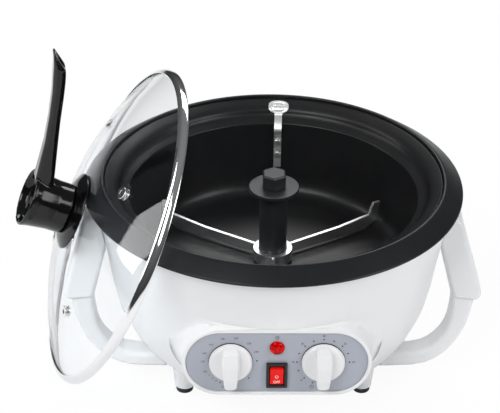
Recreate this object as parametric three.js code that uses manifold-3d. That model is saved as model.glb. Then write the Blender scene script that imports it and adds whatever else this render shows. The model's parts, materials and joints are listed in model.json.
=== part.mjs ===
// Countertop coffee bean roaster: a white bowl on four feet with an open, stirred pan under a black
// collar, a front control pod, two carrying handles and a glass lid taken off and leaned on the left.
// Lengths are in millimetres. +Z is up, the front faces -Y, and the pan's axis is the line x = y = 0.
import * as THREE from 'three';
import { mergeVertices } from 'three/addons/utils/BufferGeometryUtils.js';
import Module from 'manifold-3d';

const wasm = await Module();
wasm.setup();

// Fits shared by all pieces
const seat = 0.3; // gap left between pieces that touch
const overrun = 6; // how far a cut runs past what it cuts
const largeSides = 44;
const middleSides = 24;
const footSides = 16;
const smallSides = 8;
const degree = Math.PI / 180;

// Feet and legs
const footRadius = 6.6;
const footHeight = 5;
const footEdge = 0.8;
const footStemRadius = 2;
const footStemHeight = 6;
const legReach = 4.9; // of the legs' circle past the bowl's bottom edge
const legBottomRadius = 7.6;
const legTopRadius = 9.5;
const legHeight = 18;

// Bowl
const bowlBottomZ = 15;
const bowlTopZ = 143;
const bowlTopRadius = 140;
const bowlWall = 2.6;
const bowlRadiusShares = [0.657, 0.727, 0.791, 0.867, 0.913, 0.942, 1];
const bowlHeightShares = [0, 0.037, 0.102, 0.285, 0.523, 0.75, 1];
const bowlSteps = 8;
const rimFlangeWidth = 19;
const rimFlangeRise = 3;
const rimFlangeWall = 2.6;

// Base plate
const basePlateWall = 2.5;
const basePlateMargin = 7; // between the bowl's rim and the plate's edge
const ventSlots = 8;
const ventSlotLength = 28;
const ventSlotMargin = 20; // between the slots and the plate's edge
const ventSlotWidth = 5;
const baseScrewInset = 4.5; // from the plate's edge to the screws' circle
const baseScrewRadius = 1.7;
const baseScrewHeadRadius = 3.2;
const baseScrewHeadHeight = 1.8;
const baseScrewLength = 9;

// Collar
const collarOverhang = 5; // of the collar past the bowl's top
const collarEdge = 1.6;
const collarRise = 10.7;
const collarSlopeWidth = 14; // from the collar's edge to its ridge
const ridgeHalfWidth = 1.4;
const ridgeRounding = 0.6;

// Pan
const panWall = 1.5;
const panSideGap = 0.6;
const panRimDrop = 2.4; // below the ridge
const panConeWidth = 9.9;
const panConeDrop = 5.2;
const panStepWidth = 1;
const panStepDrop = 4.4;
const panShoulderWidth = 7.5;
const panShoulderDrop = 4.4;
const panWallTaper = 4.8;
const panFloorShare = 0.4766; // of the bowl's height
const panCornerRadius = 12;
const panCornerSteps = 2;

// Heat shield round the pan
const shieldWall = 1;
const shieldFloorGap = 3.7; // below the heating element
const shieldGap = 2.9; // round the pan's wall

// Heating element
const heaterInset = 35.8; // of the heater's ring from the pan's floor edge
const heaterTubeRadius = 4;
const heaterTubeSides = 6;
const heaterGapAngle = 30;
const heaterPinAngle = 23; // of each pin from the back
const heaterPinRadius = 3;
const heaterPinLength = 12;

// Drive
const motorRadius = 30;
const motorFloorGap = 8.3; // between the base plate and the motor
const motorShoulder = 3;
const shaftRadius = 5;
const shaftMotorReach = 12;
const bracketLength = 100;
const bracketWidth = 26;
const bracketWall = 2;
const bracketPostX = 42;
const bracketHeight = 4.9;
const bracketPostRadius = 5;
const bushRadius = 8;
const bushFlangeRadius = 11;
const bushFlangeWall = 1.5;

// Stirrer
const hubSleeveRadius = 11;
const hubDiscRadius = 19.4;
const hubDiscWall = 3.2;
const hubDrop = 0.4; // of the hub's top below the bowl's
const nutAcrossCorners = 20.3;
const nutHeight = 11.4;
const nutChamfer = 1.2;
const nutRoof = 2;
const bladeRingWall = 4;
const bladeRingHeight = 9;
const bladeFloorGap = 2;
const bladeWallGap = 5.5;
const bladeThickness = 2.4;
const bladeCount = 3;
const bladeReachShares = [0.12, 0.86, 0.97, 1, 0.94, 0.9, 0.62, 0.12];
const bladeTipHeight = 22;
const bladeHeightShares = [0, 0, 0.3, 1, 1, 0.56, 0.42, 0.36];

// Bean deflector on the back of the pan
const deflectorTurnAngle = 3.2;
const deflectorWall = 1;
const deflectorGap = 0.5;
const deflectorHeadWidth = 16.5;
const deflectorNeckWidth = 6;
const deflectorHeadInset = 3;
const deflectorCorner = 4;
const deflectorShoulder = 4.4;
const deflectorBulge = 4;
const deflectorBulgeDrop = 5;
const deflectorFloorGap = 11.6; // between the deflector's foot and the pan's corner
const rivetRadius = 1.4;
const rivetHeadRadius = 2.5;
const rivetHeadWall = 1;
const rivetPlaceShares = [0.786, 0.393]; // of the way from the deflector's foot to its bend

// Handles
const handleStandoff = 24; // reach past the bowl's top
const handleRakeAngle = 20; // lean forward, in degrees
const strapDepth = 20;
const strapBevel = 2;
const gripSideWall = 3;
const gripBackWall = 6;
const gripBevel = 2.4;
const strapOuterXShares = [0.948, 0.928, 0.882, 0.799, 0.691, 0.5];
const strapOuterZShares = [0.438, 0.35, 0.243, 0.149, 0.098, 0.088];
const strapInnerXShares = [0.5, 0.677, 0.765, 0.822, 0.843, 0.846];
const strapInnerZShares = [0.16, 0.164, 0.21, 0.289, 0.387, 0.443];
const gripOuterXShares = [0.846, 0.888, 0.98, 0.982, 0.972, 0.954];
const gripOuterZShares = [0.885, 0.85, 0.5, 0.476, 0.454, 0.446];
const gripInnerXShares = [0.848, 0.775, 0.72];
const gripInnerZShares = [0.455, 0.746, 0.885];

// Control pod and panel
const panelKnobMargin = 16.7; // from a knob's skirt to the panel's end
const panelSwitchMargin = 3.9; // from the switch to the panel's lower edge
const panelWall = 3;
const panelZ = 69.8;
const panelStandoff = 5.5; // of the panel's centre in front of the bowl
const panelTiltAngle = 3;
const panelLedge = 3;
const podLip = 3.2;
const podLipRise = 1.2;
const podLipRounding = 0.8;
const podDepth = 36;
const podFlare = 10;
const podDepthShares = [0.1, 0.28, 0.5, 0.75, 1];
const podFlareShares = [0, 0.03, 0.15, 0.48, 1];
const podSides = 28;

// Knobs and what they turn
const knobX = 33.9;
const knobGap = 0.6;
const knobSkirtRadius = 16;
const knobSkirtEdge = 2;
const knobTopRadius = 14.6;
const knobSkirtHeight = 4;
const knobBarWidth = 12.3;
const knobBarHeight = 13;
const knobBarReach = 18.2;
const knobBarChamfer = 1.6;
const knobBarPlaceShares = [0.8, 0.62, 0.1, -0.5, -0.9, -1];
const knobBarHeightShares = [0.33, 0.82, 1, 1, 0.9, 0.74];
const knobBarWidthShares = [0.72, 0.94, 1, 0.86, 0.7, 0.58];
const knobShaftRadius = 3;
const knobShaftDepth = 6; // how far the shaft enters the knob
const controlWidth = 36;
const controlHeight = 34;
const controlDepth = 11;
const controlCorner = 5;

// Lamp and switch
const lampY = 12.4;
const lampRadius = 5.6;
const lampDome = 3;
const lampSteps = 3;
const lampShankRadius = 4;
const lampShankLength = 8;
const lampHolderRadius = 6.6;
const lampHolderLength = 5;
const switchY = -10.6;
const switchWidth = 15.5;
const switchHeight = 21;
const switchFrame = 2.2;
const switchBodyInset = 1.1;
const switchBodyDepth = 12;
const rockerWidth = 10;
const rockerHalfLength = 6.9;
const rockerSwingAngle = 16;
const rockerPivotZ = -1.6;
const rockerCrown = 4.8;
const rockerDish = 1.4;
const rockerHeel = 4;
const rockerSideGap = 0.4;
const rockerEndGap = 1.2;

// Cord gland
const glandRadius = 5;
const glandBore = 2.6;
const glandFlangeRadius = 8;
const glandFlangeWall = 3;
const glandInnerLength = 7;
const glandHeightShare = 0.165;

// Lid
const lidGap = 3.2; // between the lid's edge and the collar's ridge when the lid is on
const lidLeanAngle = 24.7;
const lidTurnAngle = 7.9;
const lidSideShift = 3;
const glassWall = 3;
const glassInnerRise = 34.9;
const glassSteps = 5;
const glassEdgeInset = 3; // of the glass's edge inside the band
const bandWall = 0.8;
const bandEdge = 1.8;
const bandShoulder = 1.2;
const bandLip = 4.8;
const leanGap = 0.5; // between the leaning glass and the collar's edge
const lidFlangeRadius = 29.9;
const lidFlangeEdge = 1.2;
const lidFlangeRise = 4.6; // of the flange's top above the glass
const lidHubRadius = 19.5;
const lidHubEndRadius = 22.7;
const lidHubHeight = 32.6;
const lidHubRounding = 1.4;
const lidHubRimWall = 2.4;
const lidHubCupDepth = 7;
const armReach = 119.5;
const armRise = 45;
const armWidth = 20;
const armCorner = 3;
const armPlaceShares = [0.13, 0.22, 0.41, 0.585, 0.75, 0.86, 0.925, 1];
const armTopShares = [0.72, 0.76, 0.84, 0.95, 1.075, 1.18, 1.24, 1.325];
const armBottomShares = [0.4, 0.45, 0.605, 0.745, 0.865, 0.955, 1.02, 1.285];
const armWidthShares = [1, 0.95, 0.86, 0.82, 0.86, 0.93, 0.95, 0.7];
const armTroughWidth = 10;
const armTroughDepth = 4;
const lidScrewRadius = 3;
const lidScrewReach = 14;
const lidScrewHeadRadius = 5.6;
const lidScrewHeadHeight = 3;
const washerRadius = 9;
const washerWall = 1.5;
const ventCount = 4;
const ventInset = 49.4; // from the lid's edge to the vents' circle
const ventStartAngle = 45;
const ventTubeRadius = 3;
const ventBore = 1.7;
const ventFlangeRadius = 4.6;
const ventFlangeWall = 0.9;

// Materials
const finish = (color, roughness, metalness) => (
  new THREE.MeshStandardMaterial({ color, roughness, metalness })
);
const whitePlastic = finish(0xf1f2f3, 0.3, 0);
const blackPlastic = finish(0x141416, 0.25, 0);
const blackEnamel = finish(0x1b1c1f, 0.45, 0.1);
const blackRubber = finish(0x1a1a1b, 0.8, 0);
const greyPlastic = finish(0xa6aab4, 0.4, 0);
const redPlastic = finish(0xd3150f, 0.3, 0);
const steel = finish(0xc9cbcd, 0.25, 1);
const zincSteel = finish(0x9fa3a6, 0.45, 1);
const clearGlass = new THREE.MeshStandardMaterial({
  color: 0xe4ecec, roughness: 0.05, metalness: 0, transparent: true, opacity: 0.25,
});

// A closed surface with its shared points merged, as a solid that can be cut and joined.
function solidOf(geometry) {
  const bare = geometry.clone();
  bare.deleteAttribute('normal');
  bare.deleteAttribute('uv');
  const merged = mergeVertices(bare);
  const place = merged.attributes.position;
  const corners = [];
  for (let i = 0; i < merged.index.count; i += 3) {
    const [a, b, c] = [0, 1, 2].map((step) => merged.index.getX(i + step));
    if (a !== b && b !== c && c !== a) corners.push([a, b, c]);
  }
  const points = [0, 1, 2].map(() => new THREE.Vector3());
  const volume = corners.reduce((sum, face) => {
    face.forEach((corner, i) => points[i].fromBufferAttribute(place, corner));
    return sum + points[0].dot(points[1].cross(points[2]));
  }, 0);
  const outward = volume < 0 ? corners.map(([a, b, c]) => [a, c, b]) : corners;
  return new wasm.Manifold(new wasm.Mesh({
    numProp: 3,
    vertProperties: new Float32Array(place.array),
    triVerts: new Uint32Array(outward.flat()),
  }));
}

const asSolid = (shape) => (shape.isBufferGeometry ? solidOf(shape) : shape);
const cut = (body, ...tools) => tools.reduce((left, tool) => left.subtract(asSolid(tool)), asSolid(body));
const join = (body, ...others) => others.reduce((left, other) => left.add(asSolid(other)), asSolid(body));
const common = (body, other) => asSolid(body).intersect(asSolid(other));

function addPiece(parent, name, shape, material) {
  const mesh = asSolid(shape).getMesh();
  const geometry = new THREE.BufferGeometry();
  geometry.setAttribute('position', new THREE.BufferAttribute(mesh.vertProperties, 3));
  geometry.setIndex(new THREE.BufferAttribute(mesh.triVerts, 1));
  geometry.computeVertexNormals();
  const piece = new THREE.Mesh(geometry, material);
  piece.name = name;
  parent.add(piece);
  return piece;
}

// Turns a profile of [radius, z] points round the Z axis. A profile off the axis is closed on itself.
function revolved(profile, sides) {
  const outline = profile[0][0] > 0 ? [...profile, profile[0]] : profile;
  const lathe = new THREE.LatheGeometry(outline.map(([r, z]) => new THREE.Vector2(r, z)), sides);
  return lathe.rotateX(Math.PI / 2);
}

const disc = (radius, bottom, top, sides) => revolved(
  [[0, bottom], [radius, bottom], [radius, top], [0, top]],
  sides,
);

// The radius of a flat-sided bore that a round shaft can turn in.
const turningBore = (radius) => (radius + seat) / Math.cos(Math.PI / smallSides);

const ring = (inner, outer, bottom, top, sides) => revolved(
  [[inner, bottom], [outer, bottom], [outer, top], [inner, top]],
  sides,
);

function prism(shape, bottom, top, curveSegments = 8) {
  const options = { depth: top - bottom, bevelEnabled: false, curveSegments };
  return new THREE.ExtrudeGeometry(shape, options).translate(0, 0, bottom);
}

const block = (width, depth, height) => new THREE.BoxGeometry(width, depth, height);

const outlineOf = (points) => new THREE.Shape(points.map(([x, y]) => new THREE.Vector2(x, y)));

// A closed body through rings of equally many points, with its two ends filled.
function lofted(rings) {
  const count = rings[0].length;
  const middles = [rings[0], rings[rings.length - 1]].map((points) => (
    points.reduce((sum, point) => sum.add(point), new THREE.Vector3()).divideScalar(count)
  ));
  const points = [...rings.flat(), ...middles];
  const faces = [];
  for (let i = 0; i < rings.length - 1; i += 1) {
    for (let j = 0; j < count; j += 1) {
      const [a, b] = [i * count + j, i * count + ((j + 1) % count)];
      faces.push(a, b, a + count, b, b + count, a + count);
    }
  }
  for (let j = 0; j < count; j += 1) {
    const last = (rings.length - 1) * count;
    faces.push((j + 1) % count, j, rings.length * count);
    faces.push(last + j, last + ((j + 1) % count), rings.length * count + 1);
  }
  const geometry = new THREE.BufferGeometry().setFromPoints(points);
  geometry.setIndex(faces);
  return geometry;
}

// The path moved sideways to its left. Steep ends move level and flat ends move upright.
function offsetPath(path, distance) {
  const normals = path.slice(1).map(([r, z], i) => {
    const along = new THREE.Vector2(r - path[i][0], z - path[i][1]).normalize();
    return new THREE.Vector2(-along.y, along.x);
  });
  return path.map(([r, z], i) => {
    const before = normals[Math.max(i - 1, 0)];
    const after = normals[Math.min(i, normals.length - 1)];
    if (i === 0 || i === path.length - 1) {
      const steep = Math.abs(before.x) > Math.abs(before.y);
      return steep ? [r + distance / before.x, z] : [r, z + distance / after.y];
    }
    const miter = before.clone().add(after);
    const scale = (2 * distance) / miter.lengthSq();
    return [r + miter.x * scale, z + miter.y * scale];
  });
}

const thickened = (path, distance) => [...path, ...offsetPath(path, distance).reverse()];

function stadium(halfWidth, halfHeight) {
  const shape = new THREE.Shape();
  const straight = halfWidth - halfHeight;
  shape.absarc(straight, 0, halfHeight, -Math.PI / 2, Math.PI / 2);
  shape.absarc(-straight, 0, halfHeight, Math.PI / 2, 1.5 * Math.PI);
  return shape;
}

function stadiumRing(halfWidth, halfHeight, z) {
  return Array.from({ length: podSides }, (_, i) => {
    const angle = ((i + 0.5) / podSides) * 2 * Math.PI;
    const centre = Math.sign(Math.cos(angle)) * (halfWidth - halfHeight);
    return new THREE.Vector3(centre + halfHeight * Math.cos(angle), halfHeight * Math.sin(angle), z);
  });
}

// Heights and radii that several pieces follow
const bowlHeight = bowlTopZ - bowlBottomZ;
const bowlCurve = new THREE.SplineCurve(bowlRadiusShares.map((share, i) => (
  new THREE.Vector2(share * bowlTopRadius, bowlBottomZ + bowlHeightShares[i] * bowlHeight)
)));
const bowlPath = bowlCurve.getPoints(bowlSteps).map(({ x, y }) => [x, y]);
const bowlInnerPath = offsetPath(bowlPath, bowlWall).filter((point, i) => i % 2 === 0);
const rimInnerRadius = bowlInnerPath[0][0];
const basePlateRadius = rimInnerRadius - basePlateMargin;
const baseScrewCircle = basePlateRadius - baseScrewInset;
const flangeBottomZ = bowlBottomZ + rimFlangeRise;

const collarBottomZ = bowlTopZ + seat;
const collarRadius = bowlTopRadius + collarOverhang;
const ridgeRadius = collarRadius - collarSlopeWidth;
const ridgeTopZ = collarBottomZ + collarRise;
const collarSeatRadius = ridgeRadius - ridgeHalfWidth;
const collarEdgeZ = collarBottomZ + collarEdge;

const panRimRadius = collarSeatRadius - panSideGap;
const panRimZ = ridgeTopZ - panRimDrop;
const panConeSlope = panConeDrop / panConeWidth;
const panConeEnd = [panRimRadius - panConeWidth, panRimZ - panConeDrop];
const panStepEnd = [panConeEnd[0] - panStepWidth, panConeEnd[1] - panStepDrop];
const panShoulderEnd = [panStepEnd[0] - panShoulderWidth, panStepEnd[1] - panShoulderDrop];
const panFloorRadius = panShoulderEnd[0] - panWallTaper;
const panFloorZ = bowlBottomZ + panFloorShare * bowlHeight;
const panBottomZ = panFloorZ - panWall;
const hubTopZ = bowlTopZ - hubDrop;

function radiusAt(path, z) {
  const above = Math.max(1, path.findIndex((point) => point[1] >= z));
  const [low, high] = [path[above - 1], path[above]];
  return low[0] + ((high[0] - low[0]) * (z - low[1])) / (high[1] - low[1]);
}

const bowlRadiusAt = (z) => radiusAt(bowlPath, z);

const panelCentreY = -(bowlRadiusAt(panelZ) + panelStandoff);
const panelHalfWidth = knobX + knobSkirtRadius + panelKnobMargin;
const panelHalfHeight = switchHeight / 2 - switchY + panelSwitchMargin;

function makeControls() {
  const controls = new THREE.Group();
  controls.position.set(0, panelCentreY, panelZ);
  controls.rotation.x = Math.PI / 2 - panelTiltAngle * degree;
  controls.updateMatrixWorld(true);
  return controls;
}

const controls = makeControls();
const onPanel = (geometry) => geometry.applyMatrix4(controls.matrixWorld);

// The bowl's outside grown by a gap and run down past its rim, for trimming what stands against it.
function bowlKeepOut(growth) {
  const skin = bowlPath.map(([r, z]) => [r + growth, z]);
  const start = [skin[0][0], -overrun];
  const end = [skin[skin.length - 1][0], bowlTopZ + overrun];
  return revolved([[0, start[1]], start, ...skin, end, [0, end[1]]], largeSides);
}

// The moulded housing: bowl, control pod with its flared root, bottom flange and legs in one piece.
function makeHousing() {
  const outside = revolved([[0, bowlBottomZ], ...bowlPath, [0, bowlTopZ]], largeSides);
  const flangeTopZ = flangeBottomZ + rimFlangeWall;
  const flangeInner = rimInnerRadius - rimFlangeWidth;
  const above = bowlInnerPath.filter(([, z]) => z > flangeTopZ);
  const inside = revolved([
    [0, bowlBottomZ - overrun],
    [rimInnerRadius, bowlBottomZ - overrun],
    [rimInnerRadius, flangeBottomZ],
    [flangeInner, flangeBottomZ],
    [flangeInner, flangeTopZ],
    [radiusAt(bowlInnerPath, flangeTopZ), flangeTopZ],
    ...above,
    [bowlInnerPath[bowlInnerPath.length - 1][0], bowlTopZ + overrun],
    [0, bowlTopZ + overrun],
  ], largeSides);
  const podHalfWidth = panelHalfWidth + podLip;
  const podHalfHeight = panelHalfHeight + podLip;
  const lip = [
    stadiumRing(podHalfWidth - podLipRounding, podHalfHeight - podLipRounding, podLipRise),
    stadiumRing(podHalfWidth, podHalfHeight, podLipRise - podLipRounding),
  ];
  const root = podDepthShares.map((share, i) => {
    const flare = podFlareShares[i] * podFlare;
    return stadiumRing(podHalfWidth + flare, podHalfHeight + flare, podLipRise - share * podDepth);
  });
  const pod = onPanel(lofted([...lip, ...root]));
  const recess = onPanel(prism(
    stadium(panelHalfWidth + seat, panelHalfHeight + seat),
    -panelWall - seat,
    podLipRise + overrun,
  ));
  const passage = onPanel(prism(
    stadium(panelHalfWidth - panelLedge, panelHalfHeight - panelLedge),
    -podDepth - overrun,
    0,
  ));
  const shell = cut(join(outside, pod), inside, recess, passage);
  const legs = footPlaces().map(([x, y]) => leg().translate(x, y, 0));
  const stems = footPlaces().map(([x, y]) => (
    disc(footStemRadius + seat, 0, footHeight + footStemHeight + seat, smallSides).translate(x, y, 0)
  ));
  const screws = baseScrewAngles().map((angle) => (
    disc(baseScrewRadius + seat, 0, flangeTopZ + overrun, smallSides)
      .translate(baseScrewCircle, 0, 0)
      .rotateZ(angle)
  ));
  const glandHole = disc(glandRadius + seat, -glandInnerLength - overrun, glandFlangeRadius, smallSides);
  return cut(join(shell, ...legs), ...stems, ...screws, glandFrame(glandHole));
}

const legPlace = (bowlPath[0][0] + legReach) * Math.SQRT1_2;
const footPlaces = () => [[-1, -1], [1, -1], [1, 1], [-1, 1]].map((signs) => (
  signs.map((sign) => sign * legPlace)
));
const baseScrewAngles = () => [0, 0.5, 1, 1.5].map((share) => share * Math.PI);

function leg() {
  const bottom = footHeight + seat;
  const top = bottom + legHeight;
  return revolved([[0, bottom], [legBottomRadius, bottom], [legTopRadius, top], [0, top]], footSides);
}

function makeFoot() {
  return revolved([
    [0, 0],
    [footRadius - footEdge, 0],
    [footRadius, footEdge],
    [footRadius, footHeight],
    [footStemRadius, footHeight],
    [footStemRadius, footHeight + footStemHeight],
    [0, footHeight + footStemHeight],
  ], footSides);
}

function makeBasePlate() {
  const bottom = flangeBottomZ - seat - basePlateWall;
  const plate = disc(basePlateRadius, bottom, bottom + basePlateWall, largeSides);
  const slotMiddle = basePlateRadius - ventSlotMargin - ventSlotLength / 2;
  const slots = Array.from({ length: ventSlots }, (_, i) => (
    block(ventSlotLength, ventSlotWidth, basePlateWall + overrun)
      .translate(slotMiddle, 0, bottom)
      .rotateZ(((i + 0.5) / ventSlots) * 2 * Math.PI)
  ));
  const holes = baseScrewAngles().map((angle) => (
    disc(baseScrewRadius + seat, 0, bottom + overrun, smallSides)
      .translate(baseScrewCircle, 0, 0)
      .rotateZ(angle)
  ));
  return cut(plate, ...slots, ...holes);
}

function makeBaseScrew(angle) {
  const headTop = flangeBottomZ - basePlateWall - 2 * seat;
  const screw = revolved([
    [0, headTop - baseScrewHeadHeight],
    [baseScrewHeadRadius, headTop - baseScrewHeadHeight],
    [baseScrewHeadRadius, headTop],
    [baseScrewRadius, headTop],
    [baseScrewRadius, headTop + baseScrewLength],
    [0, headTop + baseScrewLength],
  ], smallSides);
  return screw.translate(baseScrewCircle, 0, 0).rotateZ(angle);
}

function makeCollar() {
  const innerRadius = panConeEnd[0] + panWall + panSideGap;
  const ledgeZ = (r) => panRimZ - (panRimRadius - r) * panConeSlope
    - panWall * Math.hypot(1, panConeSlope) - seat;
  return revolved([
    [innerRadius, collarBottomZ],
    [collarRadius, collarBottomZ],
    [collarRadius, collarEdgeZ],
    [ridgeRadius + ridgeHalfWidth, ridgeTopZ - ridgeRounding],
    [ridgeRadius, ridgeTopZ],
    [collarSeatRadius, ridgeTopZ - ridgeRounding],
    [collarSeatRadius, ledgeZ(collarSeatRadius)],
    [innerRadius, ledgeZ(innerRadius)],
  ], largeSides);
}

function panPath() {
  const corner = Array.from({ length: panCornerSteps + 1 }, (_, i) => {
    const angle = (i / panCornerSteps) * (Math.PI / 2);
    return [
      panFloorRadius - panCornerRadius * (1 - Math.cos(angle)),
      panFloorZ + panCornerRadius * (1 - Math.sin(angle)),
    ];
  });
  return [[panRimRadius, panRimZ], panConeEnd, panStepEnd, panShoulderEnd, ...corner, [0, panFloorZ]];
}

function makePan() {
  const body = revolved(thickened(panPath().reverse(), -panWall), largeSides);
  const bushHole = disc(bushRadius + seat, panBottomZ - overrun, panFloorZ + overrun, smallSides);
  const rivetHoles = rivetHeights().map((z) => onDeflector(
    disc(rivetRadius + seat, panFloorRadius - overrun, panRimRadius, smallSides)
      .rotateX(-Math.PI / 2)
      .translate(0, 0, z),
  ));
  return cut(body, bushHole, ...rivetHoles);
}

// Places a piece drawn at the back of the pan, on +Y, at the deflector's own angle.
const onDeflector = (geometry) => geometry.rotateZ(-deflectorTurnAngle * degree);
const deflectorBendZ = panShoulderEnd[1] - 2 * deflectorBulgeDrop;
const deflectorEndZ = panFloorZ + panCornerRadius + deflectorFloorGap;
const rivetHeights = () => rivetPlaceShares.map((share) => (
  deflectorEndZ + share * (deflectorBendZ - deflectorEndZ)
));

function panWallRadiusAt(z) {
  const wallBottomZ = panFloorZ + panCornerRadius;
  return panFloorRadius + (panWallTaper * (z - wallBottomZ)) / (panShoulderEnd[1] - wallBottomZ);
}

function deflectorPath() {
  const headRadius = panRimRadius - deflectorHeadInset;
  return [
    [panWallRadiusAt(deflectorEndZ), deflectorEndZ],
    [panWallRadiusAt(deflectorBendZ), deflectorBendZ],
    [panShoulderEnd[0] - deflectorBulge, deflectorBendZ + deflectorBulgeDrop],
    panShoulderEnd,
    panStepEnd,
    panConeEnd,
    [headRadius, panRimZ - deflectorHeadInset * panConeSlope],
  ];
}

function makeDeflector() {
  const near = offsetPath(deflectorPath(), deflectorGap);
  const side = [...near, ...offsetPath(deflectorPath(), deflectorGap + deflectorWall).reverse()];
  const strip = (width) => prism(outlineOf(side), -width / 2, width / 2)
    .rotateX(Math.PI / 2)
    .rotateZ(Math.PI / 2);
  const headEnd = panRimRadius - deflectorHeadInset;
  const half = deflectorHeadWidth / 2;
  const neckHalf = deflectorNeckWidth / 2;
  const plan = new THREE.Shape();
  plan.moveTo(half, panFloorRadius);
  plan.lineTo(half, headEnd - deflectorCorner);
  plan.quadraticCurveTo(half, headEnd, half - deflectorCorner, headEnd);
  plan.lineTo(deflectorCorner - half, headEnd);
  plan.quadraticCurveTo(-half, headEnd, -half, headEnd - deflectorCorner);
  plan.lineTo(-half, panFloorRadius);
  const shoulderTop = panConeEnd[1] + deflectorGap;
  const shoulderEnd = shoulderTop - deflectorShoulder;
  const front = new THREE.Shape();
  front.moveTo(-half, ridgeTopZ);
  front.lineTo(-half, shoulderTop);
  front.quadraticCurveTo(-neckHalf, shoulderTop, -neckHalf, shoulderEnd);
  front.lineTo(neckHalf, shoulderEnd);
  front.quadraticCurveTo(neckHalf, shoulderTop, half, shoulderTop);
  front.lineTo(half, ridgeTopZ);
  const frontCut = prism(front, -panRimRadius, 0, 4).rotateX(Math.PI / 2);
  const head = common(common(strip(deflectorHeadWidth), prism(plan, panFloorZ, ridgeTopZ, 4)), frontCut);
  const holes = rivetHeights().map((z) => (
    disc(rivetRadius + seat, 0, panRimRadius, smallSides).rotateX(-Math.PI / 2).translate(0, 0, z)
  ));
  const flat = cut(join(strip(deflectorNeckWidth), head), ...holes);
  return flat.rotate([0, 0, -deflectorTurnAngle]);
}

// A rivet through deflector and pan wall; its inner head lies on the strip and its outer one on the pan.
function makeRivet(z) {
  const faceRadius = panWallRadiusAt(z);
  const lean = Math.atan2(panWallTaper, panShoulderEnd[1] - panFloorZ - panCornerRadius);
  const stripFace = -(deflectorGap + deflectorWall + seat);
  const panFace = panWall + seat;
  return onDeflector(revolved([
    [0, stripFace - rivetHeadWall],
    [rivetHeadRadius, stripFace - rivetHeadWall],
    [rivetHeadRadius, stripFace],
    [rivetRadius, stripFace],
    [rivetRadius, panFace],
    [rivetHeadRadius, panFace],
    [rivetHeadRadius, panFace + rivetHeadWall],
    [0, panFace + rivetHeadWall],
  ], smallSides).rotateX(-Math.PI / 2 - lean).translate(0, faceRadius, z));
}

const heaterZ = panBottomZ - seat - heaterTubeRadius;
const heaterRingRadius = panFloorRadius - heaterInset;
const shieldFloorZ = heaterZ - heaterTubeRadius - shieldFloorGap;

const heaterPins = (radius, bottom) => [-1, 1].map((side) => (
  disc(radius, bottom, heaterZ, smallSides)
    .translate(0, heaterRingRadius, 0)
    .rotateZ(side * heaterPinAngle * degree)
));

function makeShield() {
  const flangeZ = collarBottomZ - seat;
  const flangeRadius = radiusAt(bowlInnerPath, flangeZ - 2 * shieldWall) - seat;
  const wallFoot = [panFloorRadius, panFloorZ + panCornerRadius];
  const path = [
    [flangeRadius, flangeZ],
    [panConeEnd[0] + panWall + shieldGap, flangeZ],
    ...offsetPath([panConeEnd, panStepEnd, panShoulderEnd, wallFoot], panWall + shieldGap).slice(1),
    [panFloorRadius - panCornerRadius + shieldGap, shieldFloorZ],
    [0, shieldFloorZ],
  ];
  const body = revolved(thickened(path.reverse(), -shieldWall), middleSides);
  const [holeBottom, holeTop] = [shieldFloorZ - overrun, shieldFloorZ + overrun];
  const shaftHole = disc(bushFlangeRadius + seat, holeBottom, holeTop, smallSides);
  const pinHoles = heaterPins(heaterPinRadius + 2 * seat, holeBottom);
  return cut(body, shaftHole, ...pinHoles);
}

function makeHeater() {
  const tube = Array.from({ length: heaterTubeSides }, (_, i) => {
    const angle = ((i + 0.5) / heaterTubeSides) * 2 * Math.PI;
    return [
      heaterRingRadius + heaterTubeRadius * Math.cos(angle),
      heaterZ + heaterTubeRadius * Math.sin(angle),
    ];
  });
  const half = (heaterGapAngle / 2) * degree;
  const reach = 2 * heaterRingRadius;
  const wedge = outlineOf([[0, 0], [reach * Math.sin(half), reach], [-reach * Math.sin(half), reach]]);
  const loop = cut(revolved(tube, middleSides), prism(wedge, 0, panFloorZ));
  return join(loop, ...heaterPins(heaterPinRadius, heaterZ - heaterPinLength));
}

const motorBottomZ = flangeBottomZ - seat + motorFloorGap;
const bracketTopZ = shieldFloorZ - shieldWall - seat;
const motorTopZ = bracketTopZ - bracketHeight - seat;
const shaftBottomZ = motorTopZ - shaftMotorReach;

function makeMotor() {
  const can = revolved([
    [0, motorBottomZ],
    [motorRadius - motorShoulder, motorBottomZ],
    [motorRadius, motorBottomZ + motorShoulder],
    [motorRadius, motorTopZ],
    [0, motorTopZ],
  ], middleSides);
  return cut(can, disc(turningBore(shaftRadius), shaftBottomZ - seat, motorTopZ + overrun, smallSides));
}

function makeBracket() {
  const bottom = motorTopZ + seat;
  const plate = block(bracketLength, bracketWidth, bracketWall).translate(0, 0, bottom + bracketWall / 2);
  const posts = [-bracketPostX, bracketPostX].map((x) => (
    disc(bracketPostRadius, bottom, bracketTopZ, smallSides).translate(x, 0, 0)
  ));
  return cut(join(plate, ...posts), disc(turningBore(shaftRadius), 0, bracketTopZ + overrun, smallSides));
}

function makeShaft() {
  const top = hubTopZ + seat + nutHeight - nutRoof - seat;
  return disc(shaftRadius, shaftBottomZ, top, smallSides);
}

const bushTopZ = panFloorZ + seat + bushFlangeWall;

function makeBush() {
  const bore = turningBore(shaftRadius);
  const lowFlangeTop = panBottomZ - seat;
  return revolved([
    [bore, lowFlangeTop - bushFlangeWall],
    [bushFlangeRadius, lowFlangeTop - bushFlangeWall],
    [bushFlangeRadius, lowFlangeTop],
    [bushRadius, lowFlangeTop],
    [bushRadius, panFloorZ + seat],
    [bushFlangeRadius, panFloorZ + seat],
    [bushFlangeRadius, bushTopZ],
    [bore, bushTopZ],
  ], smallSides);
}

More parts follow.
